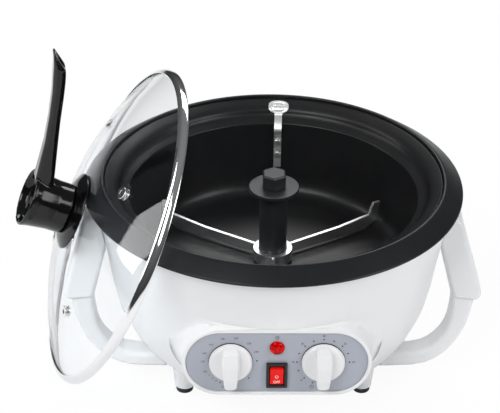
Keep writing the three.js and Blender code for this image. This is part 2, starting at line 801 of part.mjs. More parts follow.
function makeHub() {
  return revolved([
    [shaftRadius + seat, bushTopZ + seat],
    [hubSleeveRadius, bushTopZ + seat],
    [hubSleeveRadius, hubTopZ - hubDiscWall],
    [hubDiscRadius, hubTopZ - hubDiscWall],
    [hubDiscRadius, hubTopZ],
    [shaftRadius + seat, hubTopZ],
  ], middleSides);
}

function makeNut() {
  const bottom = hubTopZ + seat;
  const radius = nutAcrossCorners / 2;
  const body = revolved([
    [0, bottom],
    [radius, bottom],
    [radius, bottom + nutHeight - nutChamfer],
    [radius - nutChamfer, bottom + nutHeight],
    [0, bottom + nutHeight],
  ], 6);
  return cut(body, disc(shaftRadius + seat, bottom - overrun, bottom + nutHeight - nutRoof, smallSides));
}

function makeBlade() {
  const bottom = panFloorZ + bladeFloorGap;
  const bore = hubSleeveRadius + seat;
  const reach = panFloorRadius - bladeWallGap;
  const outline = bladeReachShares.map((share, i) => (
    [share * reach, bottom + bladeHeightShares[i] * bladeTipHeight]
  ));
  const paddles = Array.from({ length: bladeCount }, (_, i) => (
    prism(outlineOf(outline), -bladeThickness / 2, bladeThickness / 2)
      .rotateX(Math.PI / 2)
      .rotateZ((i / bladeCount + 1 / 12) * 2 * Math.PI)
  ));
  const collarBottom = bushTopZ + seat;
  const collar = ring(bore, bore + bladeRingWall, collarBottom, collarBottom + bladeRingHeight, middleSides);
  const sleeve = disc(bore, 0, hubTopZ, middleSides);
  return cut(join(collar, ...paddles), sleeve);
}

const handleReach = bowlTopRadius + handleStandoff;

// Leans a piece forward by moving it toward the front with its depth below the bowl's top.
function raked(geometry) {
  const slope = Math.tan(handleRakeAngle * degree);
  const shear = new THREE.Matrix4().set(1, 0, 0, 0, 0, 1, slope, -slope * bowlTopZ, 0, 0, 1, 0, 0, 0, 0, 1);
  return geometry.applyMatrix4(shear);
}

function handlePiece(shape, depth, bevel, growth) {
  const options = {
    depth: depth - 2 * bevel + 2 * growth,
    bevelEnabled: true,
    bevelThickness: bevel,
    bevelSize: bevel,
    bevelOffset: growth - bevel,
    bevelSegments: 1,
    curveSegments: 2,
  };
  const upright = new THREE.ExtrudeGeometry(shape, options).translate(0, 0, bevel - depth / 2 - growth);
  return raked(upright.rotateX(Math.PI / 2));
}

const placedShares = (xShares, zShares, side) => xShares.map((share, i) => (
  new THREE.Vector2(side * share * handleReach, zShares[i] * bowlTopZ)
));

function strapShape(side) {
  const outer = placedShares(strapOuterXShares, strapOuterZShares, side);
  const inner = placedShares(strapInnerXShares, strapInnerZShares, side);
  const [gripLow, gripHigh] = placedShares(gripInnerXShares, gripInnerZShares, side).slice(1);
  const gripTop = placedShares(gripOuterXShares, gripOuterZShares, side)[1];
  const shape = new THREE.Shape();
  shape.moveTo(gripHigh.x, gripTop.y - gripBackWall);
  shape.lineTo(gripTop.x - side * gripBackWall, gripTop.y - gripBackWall);
  shape.lineTo(outer[0].x, outer[0].y);
  shape.splineThru(outer.slice(1));
  shape.lineTo(inner[0].x, inner[0].y);
  shape.splineThru(inner.slice(1));
  shape.lineTo(gripLow.x, gripLow.y);
  return shape;
}

const makeStrap = (side, growth) => handlePiece(strapShape(side), strapDepth, strapBevel, growth);

function makeGrip(side) {
  const outline = [
    ...placedShares(gripOuterXShares, gripOuterZShares, side),
    ...placedShares(gripInnerXShares, gripInnerZShares, side),
  ];
  const sleeve = handlePiece(new THREE.Shape(outline), strapDepth + 2 * gripSideWall, gripBevel, 0);
  return cut(sleeve, makeStrap(side, seat), bowlKeepOut(seat));
}

function makePanel() {
  const plate = prism(stadium(panelHalfWidth, panelHalfHeight), -panelWall, 0);
  const shaftHoles = [-knobX, knobX].map((x) => (
    disc(turningBore(knobShaftRadius), -panelWall - overrun, overrun, smallSides).translate(x, 0, 0)
  ));
  const lampHole = disc(lampShankRadius + seat, -panelWall - overrun, overrun, footSides)
    .translate(0, lampY, 0);
  const switchHole = block(
    switchWidth - 2 * switchBodyInset + 2 * seat,
    switchHeight - 2 * switchBodyInset + 2 * seat,
    panelWall + 2 * overrun,
  ).translate(0, switchY, 0);
  return cut(plate, ...shaftHoles, lampHole, switchHole);
}

// Skirted pointer knob: a round skirt and a grip bar that slopes at the top and tapers to its pointer end.
function makeKnob() {
  const skirt = revolved([
    [0, knobGap],
    [knobSkirtRadius, knobGap],
    [knobSkirtRadius, knobSkirtEdge],
    [knobTopRadius, knobSkirtHeight],
    [0, knobSkirtHeight],
  ], middleSides);
  const bar = lofted(knobBarPlaceShares.map((share, i) => {
    const half = (knobBarWidthShares[i] * knobBarWidth) / 2;
    const top = knobBarHeightShares[i] * knobBarHeight;
    const chamfer = knobBarWidthShares[i] * knobBarChamfer;
    return [
      [-half, knobSkirtEdge],
      [half, knobSkirtEdge],
      [half, top - chamfer],
      [half - chamfer, top],
      [chamfer - half, top],
      [-half, top - chamfer],
    ].map(([x, z]) => new THREE.Vector3(x, share * knobBarReach, z));
  }));
  return cut(join(skirt, bar), disc(knobShaftRadius + seat, 0, knobShaftDepth + seat, smallSides));
}

const knobShaftEndZ = -panelWall - controlDepth / 2;
const makeKnobShaft = () => disc(knobShaftRadius, knobShaftEndZ, knobShaftDepth, smallSides);

function makeControlBody() {
  const [halfWidth, halfHeight] = [controlWidth / 2, controlHeight / 2];
  const face = outlineOf([
    [-halfWidth + controlCorner, -halfHeight],
    [halfWidth - controlCorner, -halfHeight],
    [halfWidth, -halfHeight + controlCorner],
    [halfWidth, halfHeight - controlCorner],
    [halfWidth - controlCorner, halfHeight],
    [-halfWidth + controlCorner, halfHeight],
    [-halfWidth, halfHeight - controlCorner],
    [-halfWidth, -halfHeight + controlCorner],
  ]);
  const front = -panelWall - seat;
  const bore = disc(turningBore(knobShaftRadius), knobShaftEndZ - seat, overrun, smallSides);
  return cut(prism(face, front - controlDepth, front), bore);
}

function makeLampLens() {
  const dome = Array.from({ length: lampSteps }, (_, i) => {
    const angle = (i / lampSteps) * (Math.PI / 2);
    return [lampRadius * Math.cos(angle), 2 * seat + lampDome * Math.sin(angle)];
  });
  return revolved([
    [0, -lampShankLength],
    [lampShankRadius, -lampShankLength],
    [lampShankRadius, seat],
    [lampRadius, seat],
    ...dome,
    [0, 2 * seat + lampDome],
  ], footSides).translate(0, lampY, 0);
}

function makeLampHolder() {
  const top = -panelWall - seat;
  return ring(lampShankRadius + seat, lampHolderRadius, top - lampHolderLength, top, footSides)
    .translate(0, lampY, 0);
}

function makeSwitchBody() {
  const frame = block(switchWidth, switchHeight, switchFrame).translate(0, 0, seat + switchFrame / 2);
  const bodyWidth = switchWidth - 2 * switchBodyInset;
  const bodyHeight = switchHeight - 2 * switchBodyInset;
  const body = block(bodyWidth, bodyHeight, switchBodyDepth + seat)
    .translate(0, 0, (seat - switchBodyDepth) / 2);
  const wellDepth = switchFrame + rockerHeel + rockerCrown;
  const well = block(rockerWidth + 2 * rockerSideGap, 2 * (rockerHalfLength + rockerEndGap), wellDepth)
    .translate(0, 0, switchFrame + 2 * seat - wellDepth / 2);
  return cut(join(frame, body), well).translate([0, switchY, 0]);
}

// The rocker in its own frame, with its pivot at the origin and its lower half pressed in.
function makeRocker() {
  const side = outlineOf([
    [-rockerHalfLength, 0],
    [0, -rockerHeel + seat],
    [rockerHalfLength, 0],
    [rockerHalfLength, rockerCrown],
    [0, rockerCrown - rockerDish],
    [-rockerHalfLength, rockerCrown],
  ]);
  return prism(side, -rockerWidth / 2, rockerWidth / 2)
    .rotateY(Math.PI / 2)
    .rotateX(Math.PI / 2)
    .rotateX((rockerSwingAngle / 2) * degree);
}

// Puts a piece drawn along +Z into the back of the bowl, square to its wall.
function glandFrame(geometry) {
  const z = bowlBottomZ + glandHeightShare * bowlHeight;
  const [below, above] = [-1, 1].map((side) => bowlRadiusAt(z + side * glandFlangeRadius));
  const slope = Math.atan2(above - below, 2 * glandFlangeRadius);
  return geometry.rotateX(-Math.PI / 2 - slope).translate(0, bowlRadiusAt(z), z);
}

function makeGland() {
  const bulge = glandFlangeRadius ** 2 / (2 * bowlTopRadius);
  const flangeStart = seat + bulge;
  return glandFrame(revolved([
    [glandBore, -glandInnerLength],
    [glandRadius, -glandInnerLength],
    [glandRadius, flangeStart],
    [glandFlangeRadius, flangeStart],
    [glandFlangeRadius, flangeStart + glandFlangeWall],
    [glandBore, flangeStart + glandFlangeWall],
  ], smallSides));
}

// The lid's own frame has the rim's plane at z = 0 and the dome toward +Z.
const lidRadius = collarSeatRadius - lidGap;
const ventCircleRadius = lidRadius - ventInset;
const glassEdgeRadius = lidRadius - glassEdgeInset;
const glassEdgeZ = bandWall + seat;
const glassSphere = (glassEdgeRadius ** 2 + glassInnerRise ** 2) / (2 * glassInnerRise);
const glassInnerZ = (r) => glassEdgeZ + glassInnerRise - glassSphere + Math.sqrt(glassSphere ** 2 - r ** 2);
const glassOuterZ = (r) => glassInnerZ(r) + glassWall / Math.cos(Math.asin(r / glassSphere));
const bandInnerRadius = lidRadius - bandLip;
const lidFlangeTopZ = glassOuterZ(0) + lidFlangeRise;
const hubBottomZ = lidFlangeTopZ + seat;
const hubTopHeight = hubBottomZ + lidHubHeight;

// What stands on the lid's inner side: each disc's place across and up the lid, its radius and its depth.
function lidInnerDiscs() {
  const ventSlope = Math.asin(ventCircleRadius / glassSphere);
  const ventReach = ventBulge() + ventFlangeWall + ventFlangeRadius * Math.sin(ventSlope);
  const vents = ventAngles().map((angle) => [
    ventCircleRadius * Math.cos(angle),
    ventCircleRadius * Math.sin(angle),
    ventFlangeRadius,
    glassInnerZ(ventCircleRadius) - seat - ventReach,
  ]);
  return [
    [0, 0, washerRadius, washerTopZ() - washerWall],
    [0, 0, lidScrewHeadRadius, lidScrewHeadTopZ() - lidScrewHeadHeight],
    ...vents,
  ];
}

// Leans the lid in its own upright plane until it meets the collar's edge and its rim the table.
function placeLid() {
  const lean = lidLeanAngle * degree;
  const turn = lidTurnAngle * degree;
  const out = new THREE.Vector3(-Math.cos(turn), -Math.sin(turn), 0);
  const up = new THREE.Vector3(0, 0, 1);
  const normal = out.clone().multiplyScalar(Math.cos(lean)).addScaledVector(up, Math.sin(lean));
  const rise = up.clone().multiplyScalar(Math.cos(lean)).addScaledVector(out, -Math.sin(lean));
  const across = rise.clone().cross(normal);
  const centreZ = lidRadius * Math.cos(lean);
  const climbTo = (z, depth) => (z - centreZ - depth * Math.sin(lean)) / Math.cos(lean);
  const reachPast = ([r, z], side, depth) => Math.sqrt(Math.max(0, r ** 2 - (side - lidSideShift) ** 2))
    - (depth - leanGap) * Math.cos(lean) + climbTo(z, depth - leanGap) * Math.sin(lean);
  const edge = [collarRadius, collarEdgeZ];
  const ridge = [ridgeRadius + ridgeHalfWidth, ridgeTopZ];
  const slope = [0, 0.25, 0.5, 0.75, 1].map((share) => (
    edge.map((value, i) => value + share * (ridge[i] - value))
  ));
  const steps = 2 * largeSides;
  const sides = Array.from({ length: steps + 1 }, (_, i) => ((2 * i) / steps - 1) * lidRadius);
  const pastGlass = slope.flatMap((corner) => sides.map((side) => {
    const far = (depth) => Math.hypot(side, climbTo(corner[1], depth));
    const nearer = (depth) => glassInnerZ(Math.min(far(depth), glassEdgeRadius));
    const guess = sides.reduce(nearer, glassInnerRise);
    const depth = far(0) > bandInnerRadius - seat ? 0 : guess;
    return far(bandEdge) > lidRadius ? 0 : reachPast(corner, side, depth);
  }));
  const pastDiscs = lidInnerDiscs().map(([side, height, radius, depth]) => {
    const near = Math.max(0, Math.abs(side - lidSideShift) - radius) + lidSideShift;
    const beside = Math.abs(climbTo(collarEdgeZ, depth) - height) > radius + collarEdge + leanGap;
    return beside ? 0 : reachPast(edge, near, depth);
  });
  const reach = Math.max(...pastGlass, ...pastDiscs);
  const lid = new THREE.Group();
  lid.position.copy(out).multiplyScalar(reach).addScaledVector(across, -lidSideShift);
  lid.position.z = centreZ;
  lid.quaternion.setFromRotationMatrix(new THREE.Matrix4().makeBasis(across, rise, normal));
  return lid;
}

function makeGlass() {
  const radii = Array.from({ length: glassSteps + 1 }, (_, i) => (i / glassSteps) * glassEdgeRadius);
  const inner = radii.map((r) => [r, glassInnerZ(r)]);
  const outer = radii.map((r) => [r, glassOuterZ(r)]);
  const body = revolved([...inner, ...outer.reverse()], largeSides);
  const screwHole = disc(lidScrewRadius + seat, 0, lidFlangeTopZ, smallSides);
  const ventHoles = ventAngles().map((angle) => (
    onGlass(disc(ventTubeRadius + seat, -overrun, overrun, smallSides), angle)
  ));
  return cut(body, screwHole, ...ventHoles);
}

// The steel band is rolled round the glass's edge, with its upper lip lying along the dome.
function makeBand() {
  const shoulderRadius = lidRadius - bandShoulder;
  const shoulderZ = glassOuterZ(glassEdgeRadius) + seat;
  const lipZ = glassOuterZ(bandInnerRadius) + seat;
  return revolved([
    [bandInnerRadius, 0],
    [lidRadius, 0],
    [lidRadius, bandEdge],
    [shoulderRadius, shoulderZ],
    [bandInnerRadius, lipZ + bandWall],
    [bandInnerRadius, lipZ],
    [shoulderRadius - bandWall, shoulderZ - bandWall / 2],
    [lidRadius - bandWall, bandEdge],
    [lidRadius - bandWall, bandWall],
    [bandInnerRadius, bandWall],
  ], largeSides);
}

const ventAngles = () => Array.from({ length: ventCount }, (_, i) => (
  (ventStartAngle + (i * 360) / ventCount) * degree
));

// Puts a piece drawn along +Z through the glass, square to it, with z = 0 at mid-thickness.
function onGlass(geometry, angle) {
  const slope = Math.asin(ventCircleRadius / glassSphere);
  const middle = (glassInnerZ(ventCircleRadius) + glassOuterZ(ventCircleRadius)) / 2;
  return geometry.rotateY(slope).translate(ventCircleRadius, 0, middle).rotateZ(angle);
}

// How far the glass curves away under a vent's inner flange, with a gap.
const ventBulge = () => seat + ventFlangeRadius ** 2 / (2 * glassSphere);

function makeVent(angle) {
  const bulge = ventBulge();
  const face = glassWall / 2 + seat;
  return onGlass(revolved([
    [ventBore, -face - bulge - ventFlangeWall],
    [ventFlangeRadius, -face - bulge - ventFlangeWall],
    [ventFlangeRadius, -face - bulge],
    [ventTubeRadius, -face - bulge],
    [ventTubeRadius, face],
    [ventFlangeRadius, face],
    [ventFlangeRadius, face + ventFlangeWall],
    [ventBore, face + ventFlangeWall],
  ], smallSides), angle);
}

function makeLidFlange() {
  const bore = lidScrewRadius + seat;
  const radii = [0, 0.5, 1].map((share) => bore + share * (lidFlangeRadius - bore));
  const under = radii.map((r) => [r, glassOuterZ(r) + seat]);
  return revolved([
    ...under,
    [lidFlangeRadius, glassOuterZ(lidFlangeRadius) + seat + lidFlangeEdge],
    [lidHubRadius + lidFlangeEdge, lidFlangeTopZ],
    [bore, lidFlangeTopZ],
  ], middleSides);
}

// The lid's knob: a flared cup-shaped hub and a rising lever that ends in a bevelled, hollowed tip.
function makeLidHandle() {
  const cupRadius = lidHubEndRadius - lidHubRimWall;
  const hub = revolved([
    [0, hubBottomZ],
    [lidHubRadius, hubBottomZ],
    [lidHubRadius, hubBottomZ + lidHubHeight / 3],
    [lidHubEndRadius - lidHubRounding, hubTopHeight - lidHubCupDepth],
    [lidHubEndRadius, hubTopHeight - lidHubRounding],
    [lidHubEndRadius - lidHubRounding, hubTopHeight],
  ].concat([
    [cupRadius, hubTopHeight - lidHubRounding],
    [cupRadius - lidHubRounding, hubTopHeight - lidHubCupDepth],
    [0, hubTopHeight - lidHubCupDepth],
  ]), middleSides);
  const arm = lofted(armPlaceShares.map((share, i) => {
    const half = (armWidthShares[i] * armWidth) / 2;
    const [low, high] = [armBottomShares[i], armTopShares[i]].map((rise) => hubBottomZ + rise * armRise);
    const corner = Math.min(armCorner, (high - low) / 3);
    return [
      [corner - half, low],
      [half - corner, low],
      [half, low + corner],
      [half, high - corner],
      [half - corner, high],
      [corner - half, high],
      [-half, high - corner],
      [-half, low + corner],
    ].map(([x, z]) => new THREE.Vector3(x, share * armReach, z));
  }));
  const last = armPlaceShares.length - 1;
  const [rise, run] = [
    (armBottomShares[last] - armBottomShares[last - 1]) * armRise,
    (armPlaceShares[last] - armPlaceShares[last - 1]) * armReach,
  ];
  const trough = new THREE.SphereGeometry(1, smallSides, smallSides / 2)
    .scale(armTroughWidth / 2, Math.hypot(rise, run) / 2, armTroughDepth / 2)
    .rotateX(Math.atan2(rise, run))
    .translate(
      0,
      armPlaceShares[last] * armReach - run / 2,
      hubBottomZ + armBottomShares[last] * armRise - rise / 2,
    );
  const screwBore = disc(lidScrewRadius + seat, 0, hubBottomZ + lidScrewReach + seat, smallSides);
  return cut(join(hub, arm), trough, screwBore);
}

// The glass is flat-sided, so the washer lies under the slope of its middle facets.
function washerTopZ() {
  const facet = glassEdgeRadius / glassSteps;
  const drop = glassInnerZ(0) - glassInnerZ(facet);
  return glassInnerZ(0) - (drop * washerRadius) / facet - seat;
}

const lidScrewHeadTopZ = () => washerTopZ() - washerWall - seat;

function makeWasher() {
  const top = washerTopZ();
  return ring(lidScrewRadius + seat, washerRadius, top - washerWall, top, smallSides);
}

function makeLidScrew() {
  const headTop = lidScrewHeadTopZ();
  return revolved([
    [0, headTop - lidScrewHeadHeight],
    [lidScrewHeadRadius, headTop - lidScrewHeadHeight],
    [lidScrewHeadRadius, headTop],
    [lidScrewRadius, headTop],
    [lidScrewRadius, hubBottomZ + lidScrewReach],
    [0, hubBottomZ + lidScrewReach],
  ], smallSides);
}

const roaster = new THREE.Group();

addPiece(roaster, 'housing_shell', makeHousing(), whitePlastic);
addPiece(roaster, 'base_plate', makeBasePlate(), zincSteel);
baseScrewAngles().forEach((angle, i) => {
  addPiece(roaster, `base_screw_${i + 1}`, makeBaseScrew(angle), zincSteel);
});
footPlaces().forEach(([x, y], i) => {
  addPiece(roaster, `foot_${i + 1}`, makeFoot(), blackRubber).position.set(x, y, 0);
});
addPiece(roaster, 'collar_ring', makeCollar(), blackEnamel);
addPiece(roaster, 'pan', makePan(), blackEnamel);
addPiece(roaster, 'heat_shield', makeShield(), zincSteel);
addPiece(roaster, 'heating_element', makeHeater(), zincSteel);
addPiece(roaster, 'gear_motor', makeMotor(), zincSteel);
addPiece(roaster, 'motor_bracket', makeBracket(), zincSteel);
addPiece(roaster, 'shaft_bush', makeBush(), steel);
addPiece(roaster, 'drive_shaft', makeShaft(), steel);
addPiece(roaster, 'stirrer_hub', makeHub(), blackPlastic);
addPiece(roaster, 'stirrer_blade', makeBlade(), steel);
addPiece(roaster, 'stirrer_nut', makeNut(), blackPlastic);
addPiece(roaster, 'bean_deflector', makeDeflector(), steel);
rivetHeights().forEach((z, i) => addPiece(roaster, `deflector_rivet_${i + 1}`, makeRivet(z), steel));
[['right', 1], ['left', -1]].forEach(([name, side]) => {
  addPiece(roaster, `handle_${name}`, cut(makeStrap(side, 0), bowlKeepOut(seat)), whitePlastic);
  addPiece(roaster, `grip_${name}`, makeGrip(side), whitePlastic);
});
addPiece(roaster, 'cord_gland', makeGland(), blackRubber);

roaster.add(controls);
addPiece(controls, 'control_panel', makePanel(), greyPlastic);
[['thermostat', -knobX], ['timer', knobX]].forEach(([name, x]) => {
  addPiece(controls, `${name}_body`, makeControlBody(), zincSteel).position.x = x;
  addPiece(controls, `${name}_shaft`, makeKnobShaft(), zincSteel).position.x = x;
  addPiece(controls, `${name}_knob`, makeKnob(), whitePlastic).position.x = x;
});
addPiece(controls, 'lamp_lens', makeLampLens(), redPlastic);
addPiece(controls, 'lamp_holder', makeLampHolder(), blackPlastic);
addPiece(controls, 'switch_body', makeSwitchBody(), blackPlastic);
addPiece(controls, 'switch_rocker', makeRocker(), redPlastic).position.set(0, switchY, rockerPivotZ);

const lid = placeLid();
roaster.add(lid);
addPiece(lid, 'lid_glass', makeGlass(), clearGlass);
addPiece(lid, 'lid_rim', makeBand(), steel);
addPiece(lid, 'lid_flange', makeLidFlange(), blackPlastic);
addPiece(lid, 'lid_handle', makeLidHandle(), blackPlastic);
addPiece(lid, 'lid_washer', makeWasher(), steel);
addPiece(lid, 'lid_screw', makeLidScrew(), steel);
ventAngles().forEach((angle, i) => addPiece(lid, `lid_vent_${i + 1}`, makeVent(angle), steel));

// The whole stands on z = 0 with the middle of its bounding box on the Z axis.
const bounds = new THREE.Box3().setFromObject(roaster, true);
const middle = bounds.getCenter(new THREE.Vector3());
roaster.position.set(-middle.x, -middle.y, -bounds.min.z);

export default roaster;
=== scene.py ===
# Looks for a countertop coffee bean roaster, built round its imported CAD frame.
# Lengths are in metres, +Z is up and the front faces -Y. The sizes of pieces are given in millimetres.
import json
import math

import bmesh
import bpy
from mathutils import Matrix, Vector
from mathutils.bvhtree import BVHTree


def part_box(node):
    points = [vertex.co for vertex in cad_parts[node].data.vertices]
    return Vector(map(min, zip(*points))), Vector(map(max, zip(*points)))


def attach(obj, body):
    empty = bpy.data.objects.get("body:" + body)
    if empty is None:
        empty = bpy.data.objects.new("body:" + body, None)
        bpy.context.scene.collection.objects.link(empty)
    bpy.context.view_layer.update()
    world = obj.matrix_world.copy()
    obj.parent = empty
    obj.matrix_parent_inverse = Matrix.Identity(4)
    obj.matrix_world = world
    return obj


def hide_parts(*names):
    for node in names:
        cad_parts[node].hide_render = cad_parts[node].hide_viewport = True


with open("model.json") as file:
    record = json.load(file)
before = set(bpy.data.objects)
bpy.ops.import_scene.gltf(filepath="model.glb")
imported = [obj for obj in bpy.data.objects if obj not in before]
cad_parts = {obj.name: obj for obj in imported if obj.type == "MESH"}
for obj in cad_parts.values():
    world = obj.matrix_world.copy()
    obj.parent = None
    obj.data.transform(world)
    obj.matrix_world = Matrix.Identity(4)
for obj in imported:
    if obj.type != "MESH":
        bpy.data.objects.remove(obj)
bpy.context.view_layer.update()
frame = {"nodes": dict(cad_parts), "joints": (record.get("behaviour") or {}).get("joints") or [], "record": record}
mm = 0.001
mergeDistance = 0.002 * mm
nodes = frame["nodes"]
bodies = frame["record"]["behaviour"]["bodies"]
bodyOf = {node: body for body, members in bodies.items() for node in members}
slotOf = {entry["node"]: entry["material_slot"] for entry in frame["record"]["subparts"]}
jointOf = {joint["name"]: joint for joint in frame["joints"]}
print("frame loaded:", len(nodes), "nodes")


# Places that come from the frame

def centroid(node):
    points = [vertex.co for vertex in nodes[node].data.vertices]
    return sum(points, Vector()) / len(points)


def pivotOf(joint):
    return Vector(jointOf[joint]["pos_m"])


def frameFrom(origin, right, up, outward):
    turn = Matrix((right, up, outward)).transposed().to_4x4()
    return Matrix.Translation(origin) @ turn


def panelFrame():
    left = pivotOf("thermostat_turn")
    right = pivotOf("timer_turn")
    outward = -Vector(jointOf["timer_turn"]["axis"]).normalized()
    across = (right - left).normalized()
    return frameFrom((left + right) / 2, across, outward.cross(across), outward)


def lidFrame():
    outward = (centroid("lid_flange") - centroid("lid_washer")).normalized()
    across = (centroid("lid_vent_1") - centroid("lid_vent_2")).normalized()
    return frameFrom(centroid("lid_washer"), across, outward.cross(across), outward)


panLow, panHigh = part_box("pan")
panAxis = Matrix.Translation(((panLow.x + panHigh.x) / 2, (panLow.y + panHigh.y) / 2, 0))
onLid = lidFrame()
onPanel = panelFrame()
offPanel = onPanel.inverted()
toPanel = Matrix.Scale(1 / mm, 4) @ offPanel  # to the panel's own millimetres
fromPanel = onPanel @ Matrix.Scale(mm, 4)


# A joint's pivot, turned like the panel
def jointPlace(name):
    return Matrix.Translation(pivotOf(name)) @ onPanel.to_3x3().to_4x4()


# The centres of the round ends of the panel
def panelEnds():
    corners = [offPanel @ vertex.co for vertex in nodes["control_panel"].data.vertices]
    length = max(corner.x for corner in corners)
    half = max(corner.y for corner in corners)
    return [onPanel @ Matrix.Translation((side * (length - half), 0, 0)) for side in (-1, 1)]


ends = panelEnds()
footPlaces = [Matrix.Translation(centroid(node)) for node in nodes if node.startswith("foot_")]


# Shader nodes

mixSockets = (0, 6, 7)  # factor, A and B of a node that mixes colours
mixedColor = 2  # its colour output


def opaque(color):
    return (*color, 1)


# Sets a socket, or links it where the value is another socket.
def feed(tree, socket, value):
    if isinstance(value, bpy.types.NodeSocket):
        tree.links.new(value, socket)
    else:
        socket.default_value = value


def mathNode(tree, operation, first, second):
    node = tree.nodes.new("ShaderNodeMath")
    node.operation = operation
    feed(tree, node.inputs[0], first)
    feed(tree, node.inputs[1], second)
    return node.outputs[0]


def mixColor(tree, factor, first, second):
    node = tree.nodes.new("ShaderNodeMix")
    node.data_type = "RGBA"
    for index, value in zip(mixSockets, (factor, first, second)):
        feed(tree, node.inputs[index], value)
    return node.outputs[mixedColor]


def mixShaders(tree, factor, first, second):
    node = tree.nodes.new("ShaderNodeMixShader")
    for socket, value in zip(node.inputs, (factor, first, second)):
        tree.links.new(value, socket)
    return node.outputs[0]


def rangeNode(tree, value, low, high, newLow, newHigh):
    node = tree.nodes.new("ShaderNodeMapRange")
    given = {"Value": value, "From Min": low, "From Max": high, "To Min": newLow, "To Max": newHigh}
    for label, item in given.items():
        feed(tree, node.inputs[label], item)
    return node.outputs[0]


def noiseNode(tree, scale, detail, vector):
    node = tree.nodes.new("ShaderNodeTexNoise")
    for label, value in (("Scale", scale), ("Detail", detail), ("Vector", vector)):
        feed(tree, node.inputs[label], value)
    return node.outputs[0]


def objectPlace(tree):
    return tree.nodes.new("ShaderNodeTexCoord").outputs["Object"]


def makeGroup(name, inputs, outputs):
    group = bpy.data.node_groups.new(name, "ShaderNodeTree")
    for label, value in inputs.items():
        socket = group.interface.new_socket(name=label, in_out="INPUT", socket_type="NodeSocketFloat")
        socket.default_value = value
    for label in outputs:
        group.interface.new_socket(name=label, in_out="OUTPUT", socket_type="NodeSocketFloat")
    return group, group.nodes.new("NodeGroupInput"), group.nodes.new("NodeGroupOutput")


def placeGroup(tree, group, values):
    node = tree.nodes.new("ShaderNodeGroup")
    node.node_tree = group
    for label, value in values.items():
        node.inputs[label].default_value = value
    return node


# Moulding grain: a fine height field with a slow waviness under it
grainLook = dict(scale=2600.0, detail=3.0, edges=(0.35, 0.65), waviness=0.2, slowScale=38.0, slowDetail=2.0)


def makeGrainGroup():
    look = grainLook
    inputs = {"Scale": look["scale"], "Waviness": look["waviness"]}
    group, given, result = makeGroup("mouldGrain", inputs, ("Height", "Mask"))
    place = objectPlace(group)
    fine = noiseNode(group, given.outputs["Scale"], look["detail"], place)
    slow = noiseNode(group, look["slowScale"], look["slowDetail"], place)
    waves = mathNode(group, "MULTIPLY", slow, given.outputs["Waviness"])
    group.links.new(mathNode(group, "ADD", fine, waves), result.inputs["Height"])
    group.links.new(rangeNode(group, fine, *look["edges"], 0.0, 1.0), result.inputs["Mask"])
    return group


# Handling marks: soft smudges and fine scratches, as a mask from 0, clean, to 1, dull
smudgeLook = dict(
    scale=45.0, detail=4.0, edges=(0.45, 0.72), share=0.7,
    scratches=0.3, lineScale=170.0, lineDetail=2.0, lineEdges=(0.66, 0.7),
    stretch=(1.0, 14.0, 5.0), turn=(0.4, 0.7, 0.3),
)


def makeSmudgeGroup():
    look = smudgeLook
    inputs = {"Smudge Scale": look["scale"], "Scratches": look["scratches"]}
    group, given, result = makeGroup("handlingMarks", inputs, ("Mask",))
    place = objectPlace(group)
    soft = noiseNode(group, given.outputs["Smudge Scale"], look["detail"], place)
    smudge = rangeNode(group, soft, *look["edges"], 0.0, 1.0)
    stretch = group.nodes.new("ShaderNodeMapping")
    stretch.inputs["Scale"].default_value = look["stretch"]
    stretch.inputs["Rotation"].default_value = look["turn"]
    group.links.new(place, stretch.inputs["Vector"])
    streaks = noiseNode(group, look["lineScale"], look["lineDetail"], stretch.outputs[0])
    lines = rangeNode(group, streaks, *look["lineEdges"], 0.0, 1.0)
    scratches = mathNode(group, "MULTIPLY", lines, given.outputs["Scratches"])
    total = mathNode(group, "ADD", mathNode(group, "MULTIPLY", smudge, look["share"]), scratches)
    group.links.new(mathNode(group, "MINIMUM", total, 1.0), result.inputs["Mask"])
    return group


# Wear: 1 on sharp outer edges, broken up by noise
wearLook = dict(
    width=0.03, edgeStart=0.56, edgeEnd=0.6, patchScale=90.0, patchDetail=3.0, patchEdges=(0.4, 0.6),
)


def makeWearGroup():
    look = wearLook
    inputs = {"Width": look["width"], "Break Up": look["patchScale"]}
    group, given, result = makeGroup("edgeWear", inputs, ("Mask",))
    point = group.nodes.new("ShaderNodeNewGeometry").outputs["Pointiness"]
    start = mathNode(group, "SUBTRACT", look["edgeStart"], given.outputs["Width"])
    edge = rangeNode(group, point, start, look["edgeEnd"], 0.0, 1.0)
    patches = noiseNode(group, given.outputs["Break Up"], look["patchDetail"], objectPlace(group))
    patchy = rangeNode(group, patches, *look["patchEdges"], 0.0, 1.0)
    group.links.new(mathNode(group, "MULTIPLY", edge, patchy), result.inputs["Mask"])
    return group


grainGroup = makeGrainGroup()
smudgeGroup = makeSmudgeGroup()
wearGroup = makeWearGroup()


# Surfaces

def newMaterial(name):
    material = bpy.data.materials.new(name)
    material.use_nodes = True
    return material, material.node_tree, material.node_tree.nodes["Principled BSDF"]


# What a surface has where its own look says nothing
plainLook = dict(scratches=0.2, wear=0.0, bumpDepth=0.02, metallic=0.0, anisotropic=0.0, ior=1.5)


